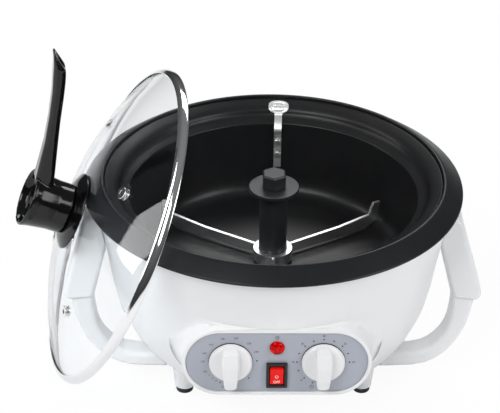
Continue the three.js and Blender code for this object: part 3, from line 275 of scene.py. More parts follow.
# One surface finish. Its look holds linear colours, roughness limits and the sizes of grain and marks.
def makeSurface(name, ownLook):
    look = dict(plainLook, **ownLook)
    material, tree, shader = newMaterial(name)
    grain = placeGroup(tree, grainGroup, {"Scale": look["grainScale"], "Waviness": look["waviness"]})
    marks = placeGroup(tree, smudgeGroup, {"Scratches": look["scratches"]})
    color = mixColor(tree, grain.outputs["Mask"], opaque(look["color"]), opaque(look["grainColor"]))
    if look["wear"]:
        wear = placeGroup(tree, wearGroup, {})
        worn = mathNode(tree, "MULTIPLY", wear.outputs["Mask"], look["wear"])
        color = mixColor(tree, worn, color, opaque(look["wornColor"]))
    tree.links.new(color, shader.inputs["Base Color"])
    rough = rangeNode(tree, marks.outputs["Mask"], 0.0, 1.0, *look["roughness"])
    tree.links.new(rough, shader.inputs["Roughness"])
    bump = tree.nodes.new("ShaderNodeBump")
    bump.inputs["Strength"].default_value = look["bump"]
    bump.inputs["Distance"].default_value = look["bumpDepth"] * mm
    tree.links.new(grain.outputs["Height"], bump.inputs["Height"])
    tree.links.new(bump.outputs["Normal"], shader.inputs["Normal"])
    for label, value in (("Metallic", "metallic"), ("Anisotropic", "anisotropic"), ("IOR", "ior")):
        shader.inputs[label].default_value = look[value]
    return material


whitePlasticLook = dict(
    color=(0.79, 0.795, 0.805), grainColor=(0.81, 0.815, 0.82), grainScale=1500.0, waviness=0.5,
    roughness=(0.3, 0.35), bump=0.04, scratches=0.1,
)
knobPlasticLook = dict(
    color=(0.78, 0.78, 0.785), grainColor=(0.8, 0.8, 0.805), grainScale=2400.0, waviness=0.2,
    roughness=(0.3, 0.36), bump=0.05, scratches=0.1,
)
panelLook = dict(
    color=(0.365, 0.385, 0.44), grainColor=(0.395, 0.415, 0.47), grainScale=3200.0, waviness=0.1,
    roughness=(0.38, 0.5), bump=0.12, scratches=0.25,
)
rubberLook = dict(
    color=(0.006, 0.006, 0.0065), grainColor=(0.01, 0.01, 0.0105), grainScale=1800.0, waviness=0.4,
    roughness=(0.4, 0.55), bump=0.3, bumpDepth=0.06, scratches=0.3, wear=0.1, wornColor=(0.03, 0.03, 0.03),
)
collarLook = dict(
    color=(0.007, 0.0078, 0.0088), grainColor=(0.01, 0.0108, 0.012), grainScale=1500.0, waviness=0.3,
    roughness=(0.34, 0.42), bump=0.15, bumpDepth=0.04, scratches=0.15, ior=1.38,
)
coatingLook = dict(
    color=(0.005, 0.0052, 0.006), grainColor=(0.01, 0.0102, 0.011), grainScale=1100.0, waviness=0.3,
    roughness=(0.36, 0.45), bump=0.15, bumpDepth=0.04, ior=1.38,
)
hubLook = dict(
    color=(0.014, 0.0155, 0.018), grainColor=(0.019, 0.0205, 0.023), grainScale=1700.0, waviness=0.2,
    roughness=(0.42, 0.52), bump=0.3, bumpDepth=0.05, scratches=0.3, wear=0.1, wornColor=(0.05, 0.052, 0.056),
)
blackGlossLook = dict(
    color=(0.0025, 0.0025, 0.003), grainColor=(0.004, 0.004, 0.0045), grainScale=900.0, waviness=0.6,
    roughness=(0.1, 0.14), bump=0.02, scratches=0.1, ior=1.42,
)
bezelLook = dict(
    color=(0.003, 0.003, 0.0035), grainColor=(0.005, 0.005, 0.0055), grainScale=2600.0, waviness=0.2,
    roughness=(0.3, 0.4), bump=0.1, scratches=0.15,
)
redPlasticLook = dict(
    color=(0.84, 0.01, 0.006), grainColor=(0.88, 0.014, 0.009), grainScale=1500.0, waviness=0.4,
    roughness=(0.3, 0.36), bump=0.06, bumpDepth=0.03, scratches=0.1, ior=1.25,
)
steelLook = dict(
    color=(0.8, 0.8, 0.8), grainColor=(0.86, 0.86, 0.86), grainScale=1500.0, waviness=0.3, metallic=1.0,
    roughness=(0.34, 0.42), bump=0.06, scratches=0.3,
)
stripLook = dict(steelLook, color=(0.9, 0.9, 0.9), grainColor=(0.94, 0.94, 0.94), roughness=(0.42, 0.5))
bandLook = dict(steelLook, roughness=(0.07, 0.12), bump=0.02, anisotropic=0.3)
lidSteelLook = dict(steelLook, roughness=(0.08, 0.14))
zincLook = dict(
    color=(0.42, 0.43, 0.44), grainColor=(0.55, 0.56, 0.57), grainScale=260.0, waviness=0.5, metallic=1.0,
    roughness=(0.38, 0.55), bump=0.15, bumpDepth=0.05, scratches=0.5, wear=0.2, wornColor=(0.65, 0.65, 0.65),
)
inkLook = dict(
    color=(0.03, 0.032, 0.04), grainColor=(0.045, 0.047, 0.055), grainScale=3000.0, waviness=0.1,
    roughness=(0.45, 0.6), bump=0.05,
)
whiteInkLook = dict(
    color=(0.85, 0.83, 0.8), grainColor=(0.9, 0.89, 0.87), grainScale=3000.0, waviness=0.1,
    roughness=(0.4, 0.55), bump=0.05,
)


glassLook = dict(
    tint=(0.92, 0.94, 0.952), markedTint=(0.96, 0.975, 0.98), roughness=(0.0, 0.02), ior=1.3,
    smudgeScale=18.0, scratches=0.1, markStart=0.2,
)


# Tinted glass that the lamps shine through, with faint handling marks
def makeGlass():
    look = glassLook
    material, tree, shader = newMaterial("lidGlass")
    sizes = {"Smudge Scale": look["smudgeScale"], "Scratches": look["scratches"]}
    marks = placeGroup(tree, smudgeGroup, sizes)
    rough = rangeNode(tree, marks.outputs["Mask"], look["markStart"], 1.0, *look["roughness"])
    tree.links.new(rough, shader.inputs["Roughness"])
    tint = mixColor(tree, marks.outputs["Mask"], opaque(look["tint"]), opaque(look["markedTint"]))
    tree.links.new(tint, shader.inputs["Base Color"])
    shader.inputs["Transmission Weight"].default_value = 1.0
    shader.inputs["IOR"].default_value = look["ior"]
    clear = tree.nodes.new("ShaderNodeBsdfTransparent")
    clear.inputs["Color"].default_value = opaque(look["tint"])
    shadow = tree.nodes.new("ShaderNodeLightPath").outputs["Is Shadow Ray"]
    surface = mixShaders(tree, shadow, shader.outputs[0], clear.outputs[0])
    tree.links.new(surface, tree.nodes["Material Output"].inputs["Surface"])
    return material


# Lens colours: deep red at the cell edges and bright red at their centres, painted glints of caught light.
lampLook = dict(
    surface=dict(redPlasticLook, roughness=(0.14, 0.2), bump=0.35, bumpDepth=0.2),
    color=(0.75, 0.0, 0.001), deep=(0.3, 0.0, 0.0), cellScale=420.0, cellEdges=(0.1, 0.7), glow=0.22,
)


# Red lens with moulded cells: their centres are painted bright red and their edges deep red, as painted glints of
# light caught in the cells; the same pattern raises the cells, and the lens gives off a faint light of its own in
# that pattern.
def makeLampRed():
    look = lampLook
    material = makeSurface("lampRed", look["surface"])
    tree = material.node_tree
    shader = tree.nodes["Principled BSDF"]
    cells = tree.nodes.new("ShaderNodeTexVoronoi")
    cells.inputs["Scale"].default_value = look["cellScale"]
    tree.links.new(objectPlace(tree), cells.inputs["Vector"])
    cellGlintAndHeight = rangeNode(tree, cells.outputs["Distance"], *look["cellEdges"], 1.0, 0.0)
    # Painted glints: bright red at the cell centres and deep red at their edges, in the base colour and the
    # emitted light alike.
    color = mixColor(tree, cellGlintAndHeight, opaque(look["deep"]), opaque(look["color"]))
    for label in ("Base Color", "Emission Color"):
        tree.links.new(color, shader.inputs[label])
    shader.inputs["Emission Strength"].default_value = look["glow"]
    bump = shader.inputs["Normal"].links[0].from_node
    tree.links.new(cellGlintAndHeight, bump.inputs["Height"])
    return material


surfaces = {
    "white_plastic": makeSurface("whitePlastic", whitePlasticLook),
    "knob_plastic": makeSurface("knobPlastic", knobPlasticLook),
    "panel_grey": makeSurface("panelFilm", panelLook),
    "rubber": makeSurface("footRubber", rubberLook),
    "collar_black": makeSurface("collarEnamel", collarLook),
    "pan_coating": makeSurface("panCoating", coatingLook),
    "hub_black": makeSurface("hubNylon", hubLook),
    "pan_steel": makeSurface("panSteel", steelLook),
    "lid_black": makeSurface("lidPhenolic", blackGlossLook),
    "lid_glass": makeGlass(),
    "lid_band": makeSurface("bandSteel", bandLook),
    "lid_metal": makeSurface("lidSteel", lidSteelLook),
    "lamp_red": makeLampRed(),
    "rocker_red": makeSurface("rockerRed", redPlasticLook),
    "switch_black": makeSurface("switchBezel", bezelLook),
    "inner_zinc": makeSurface("zincSheet", zincLook),
}
brightSteel = makeSurface("brightSteel", stripLook)
# The dark ink also prints the painted shadow rings round the knobs.
darkInkAndShadow = makeSurface("printInkAndShadow", inkLook)
inkWhite = makeSurface("switchInk", whiteInkLook)
print("materials made for", len(surfaces), "slots")


# Pieces and meshes

def addObject(name, data):
    made = bpy.data.objects.new(name, data)
    bpy.context.scene.collection.objects.link(made)
    return made


def addPiece(name, mesh, body, slot, material=None, stands=()):
    piece = addObject(name, mesh)
    mesh.materials.clear()
    mesh.materials.append(material or surfaces[slot])
    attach(piece, body)
    if stands:
        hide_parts(*stands)
    return piece


# The finer piece that replaces a CAD node
def addFine(node, mesh, material=None):
    return addPiece(node + "_fine", mesh, bodyOf[node], slotOf[node], material, stands=[node])


def mergedMesh(node):
    made = bmesh.new()
    made.from_mesh(nodes[node].data)
    bmesh.ops.remove_doubles(made, verts=made.verts, dist=mergeDistance)
    return made


meshLook = dict(flatAngle=0.5, sharpAngle=32.0, smoothAngle=38.0, rounding=0.1, segments=3)


# A CAD node with its flat stretches joined
def plainMesh(node):
    made = mergedMesh(node)
    flat = math.radians(meshLook["flatAngle"])
    bmesh.ops.dissolve_limit(made, angle_limit=flat, verts=made.verts, edges=made.edges)
    return made


def finishMesh(made, name, smoothAngle):
    bmesh.ops.recalc_face_normals(made, faces=made.faces)
    mesh = bpy.data.meshes.new(name)
    made.to_mesh(mesh)
    made.free()
    mesh.polygons.foreach_set("use_smooth", [True] * len(mesh.polygons))
    mesh.set_sharp_from_angle(angle=math.radians(smoothAngle))
    return mesh


def circlePoints(radius, sides, centre=(0, 0)):
    turns = [2 * math.pi * i / sides for i in range(sides)]
    return [(centre[0] + radius * math.cos(turn), centre[1] + radius * math.sin(turn)) for turn in turns]


# A face strip between rows of points of equal length; a row may be one point many times.
def bridgeRows(made, rows, wrap=False):
    for low, high in list(zip(rows, rows[1:])) + ([(rows[-1], rows[0])] if wrap else []):
        for i in range(len(low) - 1):
            corners = list(dict.fromkeys((low[i], low[i + 1], high[i + 1], high[i])))
            if len(corners) > 2:
                made.faces.new(corners)


# Rings that the CAD solids draw with chords: axis, largest radius and cuts of a chord
rings = {
    "thermostat_knob": [(jointPlace("thermostat_turn"), 30.0, 3)],
    "timer_knob": [(jointPlace("timer_turn"), 30.0, 3)],
    "control_panel": [(place, 30.0, 3) for place in ends],
    "housing_shell": [(place, 45.0, 3) for place in ends] + [(place, 25.0, 2) for place in footPlaces],
    "lid_handle": [(onLid, 40.0, 2)],
}
ringLook = dict(tolerance=0.02, narrowest=1.0, leastTurn=1.0, mostTurn=50.0)


# Chords of the rings round an axis get more points, each moved out to its ring.
def roundRings(made, place, widest, cuts):
    ring = made.verts.layers.float.new("ring")
    inverse = place.inverted()
    flat = {}
    for vertex in made.verts:
        local = inverse @ vertex.co
        flat[vertex] = local
        vertex[ring] = math.hypot(local.x, local.y)
    chords = []
    for edge in made.edges:
        first, second = edge.verts
        level = abs(flat[first].z - flat[second].z) < ringLook["tolerance"] * mm
        even = abs(first[ring] - second[ring]) < ringLook["tolerance"] * mm
        if not (level and even and ringLook["narrowest"] * mm < first[ring] < widest * mm):
            continue
        turn = math.degrees(flat[first].xy.angle(flat[second].xy))
        if ringLook["leastTurn"] < turn < ringLook["mostTurn"]:
            chords.append(edge)
    known = set(made.verts)
    bmesh.ops.subdivide_edges(made, edges=chords, cuts=cuts, use_grid_fill=True)
    for vertex in made.verts:
        if vertex in known:
            continue
        local = inverse @ vertex.co
        radius = math.hypot(local.x, local.y)
        if radius > 0 and vertex[ring] > 0:
            local.xy *= vertex[ring] / radius
            vertex.co = place @ local


def ringedMesh(node):
    made = plainMesh(node)
    for place, widest, cuts in rings.get(node, ()):
        roundRings(made, place, widest, cuts)
    return made


# How wide the sharp edges of a node are rounded, where it isn't the usual width
roundings = {
    "housing_shell": 0.0, "base_plate": 0.2, "cord_gland": 0.5, "stirrer_nut": 0.5, "stirrer_blade": 0.3,
    "control_panel": 0.15, "switch_body": 0.5, "switch_rocker": 0.5, "lid_screw": 0.4, "lid_washer": 0.3,
    "gear_motor": 0.8, "motor_bracket": 0.3, "thermostat_body": 0.5, "timer_body": 0.5,
}


# A CAD node with its sharp edges rounded and its curved faces shaded smooth
def refine(node):
    made = ringedMesh(node)
    width = roundings.get(node, meshLook["rounding"]) * mm
    if width:
        steep = math.radians(meshLook["sharpAngle"])
        sharp = [edge for edge in made.edges if edge.is_manifold and edge.calc_face_angle(0) > steep]
        bmesh.ops.bevel(
            made, geom=sharp, offset=width, offset_type="OFFSET", segments=meshLook["segments"],
            profile=0.5, affect="EDGES", clamp_overlap=True,
        )
    piece = addFine(node, finishMesh(made, node, meshLook["smoothAngle"]))
    normals = piece.modifiers.new("faceNormals", "WEIGHTED_NORMAL")
    normals.keep_sharp = True


# Turned nodes

turnLook = dict(sliver=0.01, pole=0.02, leastCorners=6)


# The outline of a turned CAD node, as (radius, height) points in the order that they follow each other
def turnedOutline(node, place):
    made = mergedMesh(node)
    made.transform(place.inverted())
    sliver = turnLook["sliver"] * mm
    flat = [vertex for vertex in made.verts if abs(vertex.co.y) < sliver and vertex.co.x > -sliver]
    allowed = set(flat)
    links = {vertex: [] for vertex in flat}
    for edge in made.edges:
        first, second = edge.verts
        if first in allowed and second in allowed:
            links[first].append(second)
            links[second].append(first)
    tips = [vertex for vertex in flat if len(links[vertex]) == 1]
    current = min(tips or flat, key=lambda vertex: (vertex.co.z, vertex.co.x))
    outline = []
    seen = set()
    while current is not None and current not in seen:
        seen.add(current)
        outline.append((max(current.co.x, 0.0), current.co.z))
        current = next((other for other in links[current] if other not in seen), None)
    made.free()
    return outline, not tips


def turnedMesh(outline, closed, place, steps):
    made = bmesh.new()
    rows = []
    for radius, height in outline:
        if radius < turnLook["pole"] * mm:
            row = [made.verts.new((0, 0, height))] * steps
        else:
            row = [made.verts.new((x, y, height)) for x, y in circlePoints(radius, steps)]
        rows.append(row + row[:1])
    bridgeRows(made, rows, wrap=closed)
    made.transform(place)
    return made


cornerLook = dict(leastTurn=3.0, steepTurn=50.0, lopsided=2.5, steps=5)


# An outline with its corners drawn as curves; steep corners keep the smaller reach.
def softOutline(outline, closed, edgeReach, softReach):
    softened = []
    for i, corner in enumerate(outline):
        here = Vector(corner)
        before = Vector(outline[i - 1]) - here
        after = Vector(outline[(i + 1) % len(outline)]) - here
        free = closed or 0 < i < len(outline) - 1
        turn = math.degrees(before.angle(-after)) if free else 0.0
        if turn < cornerLook["leastTurn"]:
            softened.append(here)
            continue
        reach = softReach if turn < cornerLook["steepTurn"] else edgeReach
        first = min(reach, before.length / 2)
        second = min(reach, after.length / 2)
        most = cornerLook["lopsided"]
        first, second = min(first, most * second), min(second, most * first)
        start = here + before.normalized() * first
        end = here + after.normalized() * second
        for step in range(cornerLook["steps"] + 1):
            t = step / cornerLook["steps"]
            softened.append(start * (1 - t) ** 2 + here * (2 * t * (1 - t)) + end * t ** 2)
    kept = [softened[0]]
    for last, point in zip(softened, softened[1:]):
        if (point - last).length > mergeDistance:
            kept.append(point)
    if closed and (kept[0] - kept[-1]).length < mergeDistance:
        kept.pop()
    return [tuple(point) for point in kept]


# A turned CAD node made round again, with its corners rounded
def respin(node, place, steps, edgeReach, softReach):
    outline, closed = turnedOutline(node, place)
    outline = softOutline(outline, closed, edgeReach * mm, softReach * mm)
    made = turnedMesh(outline, closed, place, steps)
    addFine(node, finishMesh(made, node, meshLook["smoothAngle"]))


# The frame of a turned node: its largest flat face gives the axis, and one of its corners the X direction.
def ownFrame(node):
    made = plainMesh(node)
    centre = sum((vertex.co for vertex in made.verts), Vector()) / len(made.verts)
    least = turnLook["leastCorners"]
    face = max(made.faces, key=lambda item: (len(item.verts) >= least) * item.calc_area())
    outward = face.normal.copy()
    corner = face.verts[0].co - centre
    across = (corner - outward * corner.dot(outward)).normalized()
    made.free()
    return frameFrom(centre, across, outward.cross(across), outward)


# Axis, steps round it, and how far its steep and its soft corners are rounded
turned = {
    "collar_ring": (panAxis, 192, 0.7, 3.0),
    "pan": (panAxis, 192, 0.8, 7.0),
    "stirrer_hub": (panAxis, 96, 0.7, 2.0),
    "lid_rim": (onLid, 192, 0.9, 2.0),
    "lid_flange": (onLid, 96, 0.8, 5.0),
}
for node in nodes:
    if node.startswith(("foot_", "base_screw_", "deflector_rivet_", "lid_vent_")):
        turned[node] = (ownFrame(node), 48, 0.35, 1.0)
turned["lamp_lens"] = (ownFrame("lamp_lens"), 64, 0.35, 1.5)


# Moulded nodes: size of the even cells that they are made from, and how often these are smoothed
melted = {
    "lid_handle": (0.5, 30), "thermostat_knob": (0.4, 6), "timer_knob": (0.4, 6),
    "handle_right": (0.8, 12), "handle_left": (0.8, 12), "grip_right": (0.7, 6), "grip_left": (0.7, 6),
}
meltLook = dict(smoothAngle=180, factor=0.5)


# A moulded node made again from even cells and smoothed, so that its corners and joints flow together
def melt(node, cell, passes):
    draft = addObject("draft", finishMesh(ringedMesh(node), "draft", meltLook["smoothAngle"]))
    even = draft.modifiers.new("even", "REMESH")
    even.mode = "VOXEL"
    even.voxel_size = cell * mm
    soft = draft.modifiers.new("soft", "SMOOTH")
    soft.factor = meltLook["factor"]
    soft.iterations = passes
    baked = bpy.data.meshes.new_from_object(draft.evaluated_get(bpy.context.evaluated_depsgraph_get()))
    rough = draft.data
    bpy.data.objects.remove(draft)
    bpy.data.meshes.remove(rough)
    baked.name = node
    baked.polygons.foreach_set("use_smooth", [True] * len(baked.polygons))
    addFine(node, baked)


# Bean deflector: a strip bent along the pan's wall, with a rounded head that carries a stamped border
deflectorLook = dict(
    headHalf=8.25, headLength=10.8, headShare=0.7, power=2.4, leastHalf=0.3,
    neckHalf=3.05, flareStart=7.4, flareLength=5.2, flareHalf=6.6,
    gap=0.5, wall=1.0, columns=48, rowStep=0.3, bulge=4.0, bulgeDrop=5.0, softReach=3.0, smoothAngle=40,
    stampDepth=0.25, stampInner=0.66, stampOuter=0.8,
    dimples=(-3.4, 0.0, 3.4), dimpleRadius=1.1, dimpleDepth=0.35,
)
panWallPoints = slice(4, 9)  # of the pan's outline: wall's foot, shoulder, step, cone and rim


def deflectorPath():
    look = deflectorLook
    outline, _ = turnedOutline("pan", panAxis)
    foot, shoulder, step, cone, rim = [Vector(point) for point in outline[panWallPoints]]
    low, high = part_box("bean_deflector")

    def wallAt(z):
        return foot.lerp(shoulder, (z - foot.y) / (shoulder.y - foot.y))

    bendZ = shoulder.y - 2 * look["bulgeDrop"] * mm
    bulge = Vector((shoulder.x - look["bulge"] * mm, bendZ + look["bulgeDrop"] * mm))
    share = (high.z - look["gap"] * mm - look["wall"] * mm - cone.y) / (rim.y - cone.y)
    head = cone.lerp(rim, min(share, look["headShare"]))
    corners = [tuple(corner) for corner in (wallAt(low.z), wallAt(bendZ), bulge, shoulder, step, cone, head)]
    reach = look["softReach"] * mm
    return [Vector(point) for point in reversed(softOutline(corners, False, reach, reach))]


# Points at even steps along a path, each with the distance from its start
def evenPath(points, step):
    made = []
    travelled = 0.0
    nextStop = 0.0
    for first, second in zip(points, points[1:]):
        length = (second - first).length
        while nextStop <= travelled + length:
            made.append((nextStop, first.lerp(second, (nextStop - travelled) / length)))
            nextStop += step
        travelled += length
    return made


# Half the strip's width at a distance from the head's end
def deflectorHalf(distance):
    look = deflectorLook
    half = 0.0
    if distance < look["headLength"]:
        along = abs(1 - 2 * distance / look["headLength"])
        half = look["headHalf"] * (1 - along ** look["power"]) ** (1 / look["power"])
    flare = min(max((distance - look["flareStart"]) / look["flareLength"], 0.0), 1.0)
    neck = look["neckHalf"] + (look["flareHalf"] - look["neckHalf"]) * (1 - flare) ** 2
    return max(half, neck) if distance > look["headLength"] / 2 else half


# How deep the stamping is at a place on the head
def stampAt(distance, side):
    look = deflectorLook
    if distance > look["headLength"]:
        return 0.0
    along = abs(1 - 2 * distance / look["headLength"])
    out = (along ** look["power"] + abs(side / look["headHalf"]) ** look["power"]) ** (1 / look["power"])
    if look["stampInner"] < out < look["stampOuter"]:
        return look["stampDepth"]
    middle = look["headLength"] / 2
    if min(math.hypot(side - x, distance - middle) for x in look["dimples"]) < look["dimpleRadius"]:
        return look["dimpleDepth"]
    return 0.0


def makeDeflector():
    look = deflectorLook
    centre = centroid("bean_deflector") - panAxis.translation
    turn = Matrix.Rotation(math.atan2(centre.y, centre.x), 4, "Z")
    stops = evenPath(deflectorPath(), look["rowStep"] * mm)
    made = bmesh.new()
    rows = []
    for i, (distance, point) in enumerate(stops):
        ahead = stops[min(i + 1, len(stops) - 1)][1] - stops[max(i - 1, 0)][1]
        inward = Vector((ahead.y, -ahead.x)).normalized()
        inward = inward if inward.x < 0 or inward.y > 0 else -inward
        reach = max(deflectorHalf(distance / mm), look["leastHalf"])
        near, far = [], []
        for k in range(look["columns"] + 1):
            side = reach * (2 * k / look["columns"] - 1)
            lift = look["gap"] + look["wall"] - stampAt(distance / mm, side)
            front = point + inward * lift * mm
            back = point + inward * look["gap"] * mm
            near.append(made.verts.new((front.x, side * mm, front.y)))
            far.append(made.verts.new((back.x, side * mm, back.y)))
        rows.append(near + far[::-1] + near[:1])
    bridgeRows(made, rows)
    for row in (rows[0], rows[-1]):
        made.faces.new(row[:-1])
    made.transform(panAxis @ turn)
    addFine("bean_deflector", finishMesh(made, "deflector", look["smoothAngle"]), brightSteel)


# Soft blend where the control pod grows out of the bowl
blendLook = dict(
    alongBowl=13.0, alongPod=9.0, rimShare=0.8, segments=10, spacing=2.0, smoothing=14, pathSmoothing=4,
    endTaper=14.0, leastTurn=10.0, rearStep=16.8, rearTolerance=0.3, stepHalf=61.0, lowest=-1.0, deepest=36.0,
    frontZ=1.2, probe=7.0, top=(0.0, 28.0, 0.5), leastReach=0.1, bowlShare=1.7, sunk=0.4, bulgeShare=0.075,
    smoothAngle=60,
)


# The crease between pod and bowl, walked from its middle to both ends, in the panel's millimetres
def podCrease():
    look = blendLook
    made = plainMesh("housing_shell")
    made.transform(toPanel)
    links = {}
    for edge in made.edges:
        if not edge.is_manifold or edge.calc_face_angle_signed(0) > -math.radians(look["leastTurn"]):
            continue
        spots = [vertex.co for vertex in edge.verts]
        inside = all(look["lowest"] < spot.y and -look["deepest"] < spot.z < look["frontZ"] for spot in spots)
        onStep = all(abs(spot.z + look["rearStep"]) < look["rearTolerance"] for spot in spots)
        onSide = all(abs(spot.x) > look["stepHalf"] for spot in spots)
        if inside and not (onStep and onSide):
            first, second = edge.verts
            links.setdefault(first, []).append(second)
            links.setdefault(second, []).append(first)
    start = min(links, key=lambda vertex: (vertex.co - Vector(look["top"])).length)
    walk = [start]
    for side in (1, -1):
        current = start
        while True:
            ahead = [other for other in links[current] if (other.co.x - current.co.x) * side > 0]
            if not ahead:
                break
            current = max(ahead, key=lambda other: (other.co.x - current.co.x) * side)
            walk = walk + [current] if side > 0 else [current] + walk
    points = [vertex.co.copy() for vertex in walk]
    made.free()
    return points


def smoothRun(values, passes):
    for _ in range(passes):
        inner = [(values[i - 1] + 2 * values[i] + values[i + 1]) / 4 for i in range(1, len(values) - 1)]
        values = [values[0]] + inner + [values[-1]]
    return values


def makeBlend():
    look = blendLook
    shell = mergedMesh("housing_shell")
    shell.transform(toPanel)
    surface = BVHTree.FromBMesh(shell)
    shell.free()
    endX = abs((offPanel @ ends[0].translation).x) / mm
    crease = podCrease()
    length = sum((second - first).length for first, second in zip(crease, crease[1:]))
    points = smoothRun([point for _, point in evenPath(crease, look["spacing"])], look["pathSmoothing"])
    podSides = []
    bowlSides = []
    for point in points:
        inner = max(-endX, min(endX, point.x))
        podSide = Vector((point.x - inner, point.y, 0)).normalized()
        podSides.append(podSide)
        bowlSides.append(surface.find_nearest(point + podSide * look["probe"])[1])
    bowlSides = smoothRun(bowlSides, look["smoothing"])
    reaches = []
    for i, point in enumerate(points):
        taper = min(min(i, len(points) - 1 - i) * look["spacing"] / look["endTaper"], 1.0)
        reaches.append(min(look["alongPod"], max(look["frontZ"] - point.z, 0.0) * look["rimShare"]) * taper)
    reaches = smoothRun(reaches, look["smoothing"])
    made = bmesh.new()
    rows = []
    for i, point in enumerate(points):
        podSide, bowlSide = podSides[i], bowlSides[i].normalized()
        overBowl = (podSide - bowlSide * podSide.dot(bowlSide)).normalized()
        overPod = (bowlSide - podSide * podSide.dot(bowlSide)).normalized()
        upPod = reaches[i] + look["leastReach"]
        upBowl = min(look["alongBowl"], look["bowlShare"] * upPod)
        onBowl = surface.find_nearest(point + overBowl * upBowl)[0]
        onPod = surface.find_nearest(point + overPod * upPod)[0]
        pull = point + bowlSide * look["bulgeShare"] * upBowl
        row = []
        for k in range(look["segments"] + 1):
            t = k / look["segments"]
            row.append(made.verts.new(onBowl * (1 - t) ** 2 + pull * (2 * t * (1 - t)) + onPod * t ** 2))
        row.append(made.verts.new(point - (podSide + bowlSide).normalized() * look["sunk"]))
        rows.append(row + row[:1])
    bridgeRows(made, rows)
    for row in (rows[0], rows[-1]):
        made.faces.new(row[:-1])
    made.transform(fromPanel)
    print("pod blend:", len(points), "rows over", round(length), "mm")
    addPiece("pod_blend", finishMesh(made, "podBlend", look["smoothAngle"]), "body", "white_plastic")


for node, settings in turned.items():
    respin(node, *settings)
for node, settings in melted.items():
    melt(node, *settings)
makeDeflector()
makeBlend()
for node in nodes:
    if node not in turned and node not in melted and node != "bean_deflector":
        refine(node)
print("pieces refined:", len(nodes))


# Printing on the control panel, with a ring of painted shadow round each knob; a place is (x, y) from the panel's
# middle or from a knob's axis

# The shadow ring sizes give the painted shadow ring round each knob, the shade of the gap between knob and panel.
printLook = dict(
    lift=0.03, thickness=0.04, line=0.26, dotSides=20, ringSides=64, smoothAngle=30,
    dotRadius=0.62, fadeStart=1.15, fadeTurn=90, dialRadius=19.3, numberSize=2.2,
    shadowRingInner=15.4, shadowRingOuter=16.25, lampSign=(0.0, 20.8), lampSignRadius=1.25,
    clock=(-8.1, -21.3), clockRadius=1.35, clockHands=((0.0, 0.8), (0.6, 0.0)),
    zero=(-5.6, -21.6), zeroSize=2.4,
)
# Marks by their angle clockwise from six o'clock; fading dots get smaller with the angle.
timerMarks = dict(
    dots=[22.5 * i for i in range(1, 13)], fadingDots=(), numberRadius=22.2,
    numbers={45: "10", 90: "20", 135: "30", 180: "40", 225: "50", 270: "60"},
)
thermostatMarks = dict(
    dots=(267, 316), fadingDots=(23, 33, 43, 54), numberRadius=20.6,
    numbers={66: "100", 91: "120", 111: "140", 136: "160", 163: "180", 191: "200", 220: "220", 245: "240"},
)


def dialPoint(knob, radius, angle):
    turn = math.radians(angle)
    return Vector((knob.x - radius * math.sin(turn), -radius * math.cos(turn)))


# A flat shape drawn up from the lower to the upper height of its span
def addSlab(made, points, span):
    face = made.faces.new([made.verts.new((x, y, span[0])) for x, y in points])
    lifted = bmesh.ops.extrude_face_region(made, geom=[face])["geom"]
    for vertex in [item for item in lifted if isinstance(item, bmesh.types.BMVert)]:
        vertex.co.z = span[1]


def addDisc(made, centre, radius, span):
    addSlab(made, circlePoints(radius, printLook["dotSides"], centre), span)


def addRing(made, centre, inner, outer, span):
    low, high = span
    rows = []
    for radius, height in ((inner, low), (outer, low), (outer, high), (inner, high)):
        circle = circlePoints(radius, printLook["ringSides"], centre)
        row = [made.verts.new((x, y, height)) for x, y in circle]
        rows.append(row + row[:1])
    bridgeRows(made, rows, wrap=True)


def addBar(made, start, end, span):
    along = (end - start).normalized()
    side = Vector((-along.y, along.x)) * printLook["line"] / 2
    addSlab(made, [start + side, start - side, end - side, end + side], span)


def addText(made, text, centre, size, span):
    low, high = span
    curve = bpy.data.curves.new("label", "FONT")
    curve.body = text
    curve.size = size
    curve.align_x = "CENTER"
    curve.align_y = "CENTER"
    curve.extrude = (high - low) / 2
    label = bpy.data.objects.new("label", curve)
    mesh = label.to_mesh()
    mesh.transform(Matrix.Translation((centre.x, centre.y, (high + low) / 2)))
    made.from_mesh(mesh)
    label.to_mesh_clear()
    bpy.data.objects.remove(label)
    bpy.data.curves.remove(curve)


def addDial(made, knob, marks, span):
    look = printLook
    for angle in marks["dots"]:
        addDisc(made, dialPoint(knob, look["dialRadius"], angle), look["dotRadius"], span)
    for angle in marks["fadingDots"]:
        radius = look["dotRadius"] * (look["fadeStart"] - angle / look["fadeTurn"])
        addDisc(made, dialPoint(knob, look["dialRadius"], angle), radius, span)
    for angle, text in marks["numbers"].items():
        addText(made, text, dialPoint(knob, marks["numberRadius"], angle), look["numberSize"], span)
    # A dark ring round the knob: painted shadow of the gap between knob and panel, printed in the dark ink.
    addRing(made, knob, look["shadowRingInner"], look["shadowRingOuter"], span)


def makePrint():
    look = printLook
    span = (look["lift"], look["lift"] + look["thickness"])
    knobX = (offPanel @ pivotOf("thermostat_turn")).x / mm
    thermostat = Vector((knobX, 0))
    timer = Vector((-knobX, 0))
    made = bmesh.new()
    addDial(made, timer, timerMarks, span)
    addDial(made, thermostat, thermostatMarks, span)
    addText(made, "0", thermostat + Vector(look["zero"]), look["zeroSize"], span)
    # The lamp's sign is a crossed ring
    lampSign = Vector(look["lampSign"])
    radius = look["lampSignRadius"]
    addRing(made, lampSign, radius, radius + look["line"], span)
    for side in (-1, 1):
        arm = Vector((1, side)).normalized() * radius
        addBar(made, lampSign - arm, lampSign + arm, span)
    # The timer's sign is a clock face with two hands
    clock = timer + Vector(look["clock"])
    radius = look["clockRadius"]
    addRing(made, clock, radius, radius + look["line"], span)
    for hand in look["clockHands"]:
        addBar(made, clock, clock + Vector(hand) * radius, span)
    made.transform(fromPanel)
    mesh = finishMesh(made, "panelPrintAndShadow", look["smoothAngle"])
    addPiece("panel_print_and_shadow", mesh, "body", "panel_grey", darkInkAndShadow)


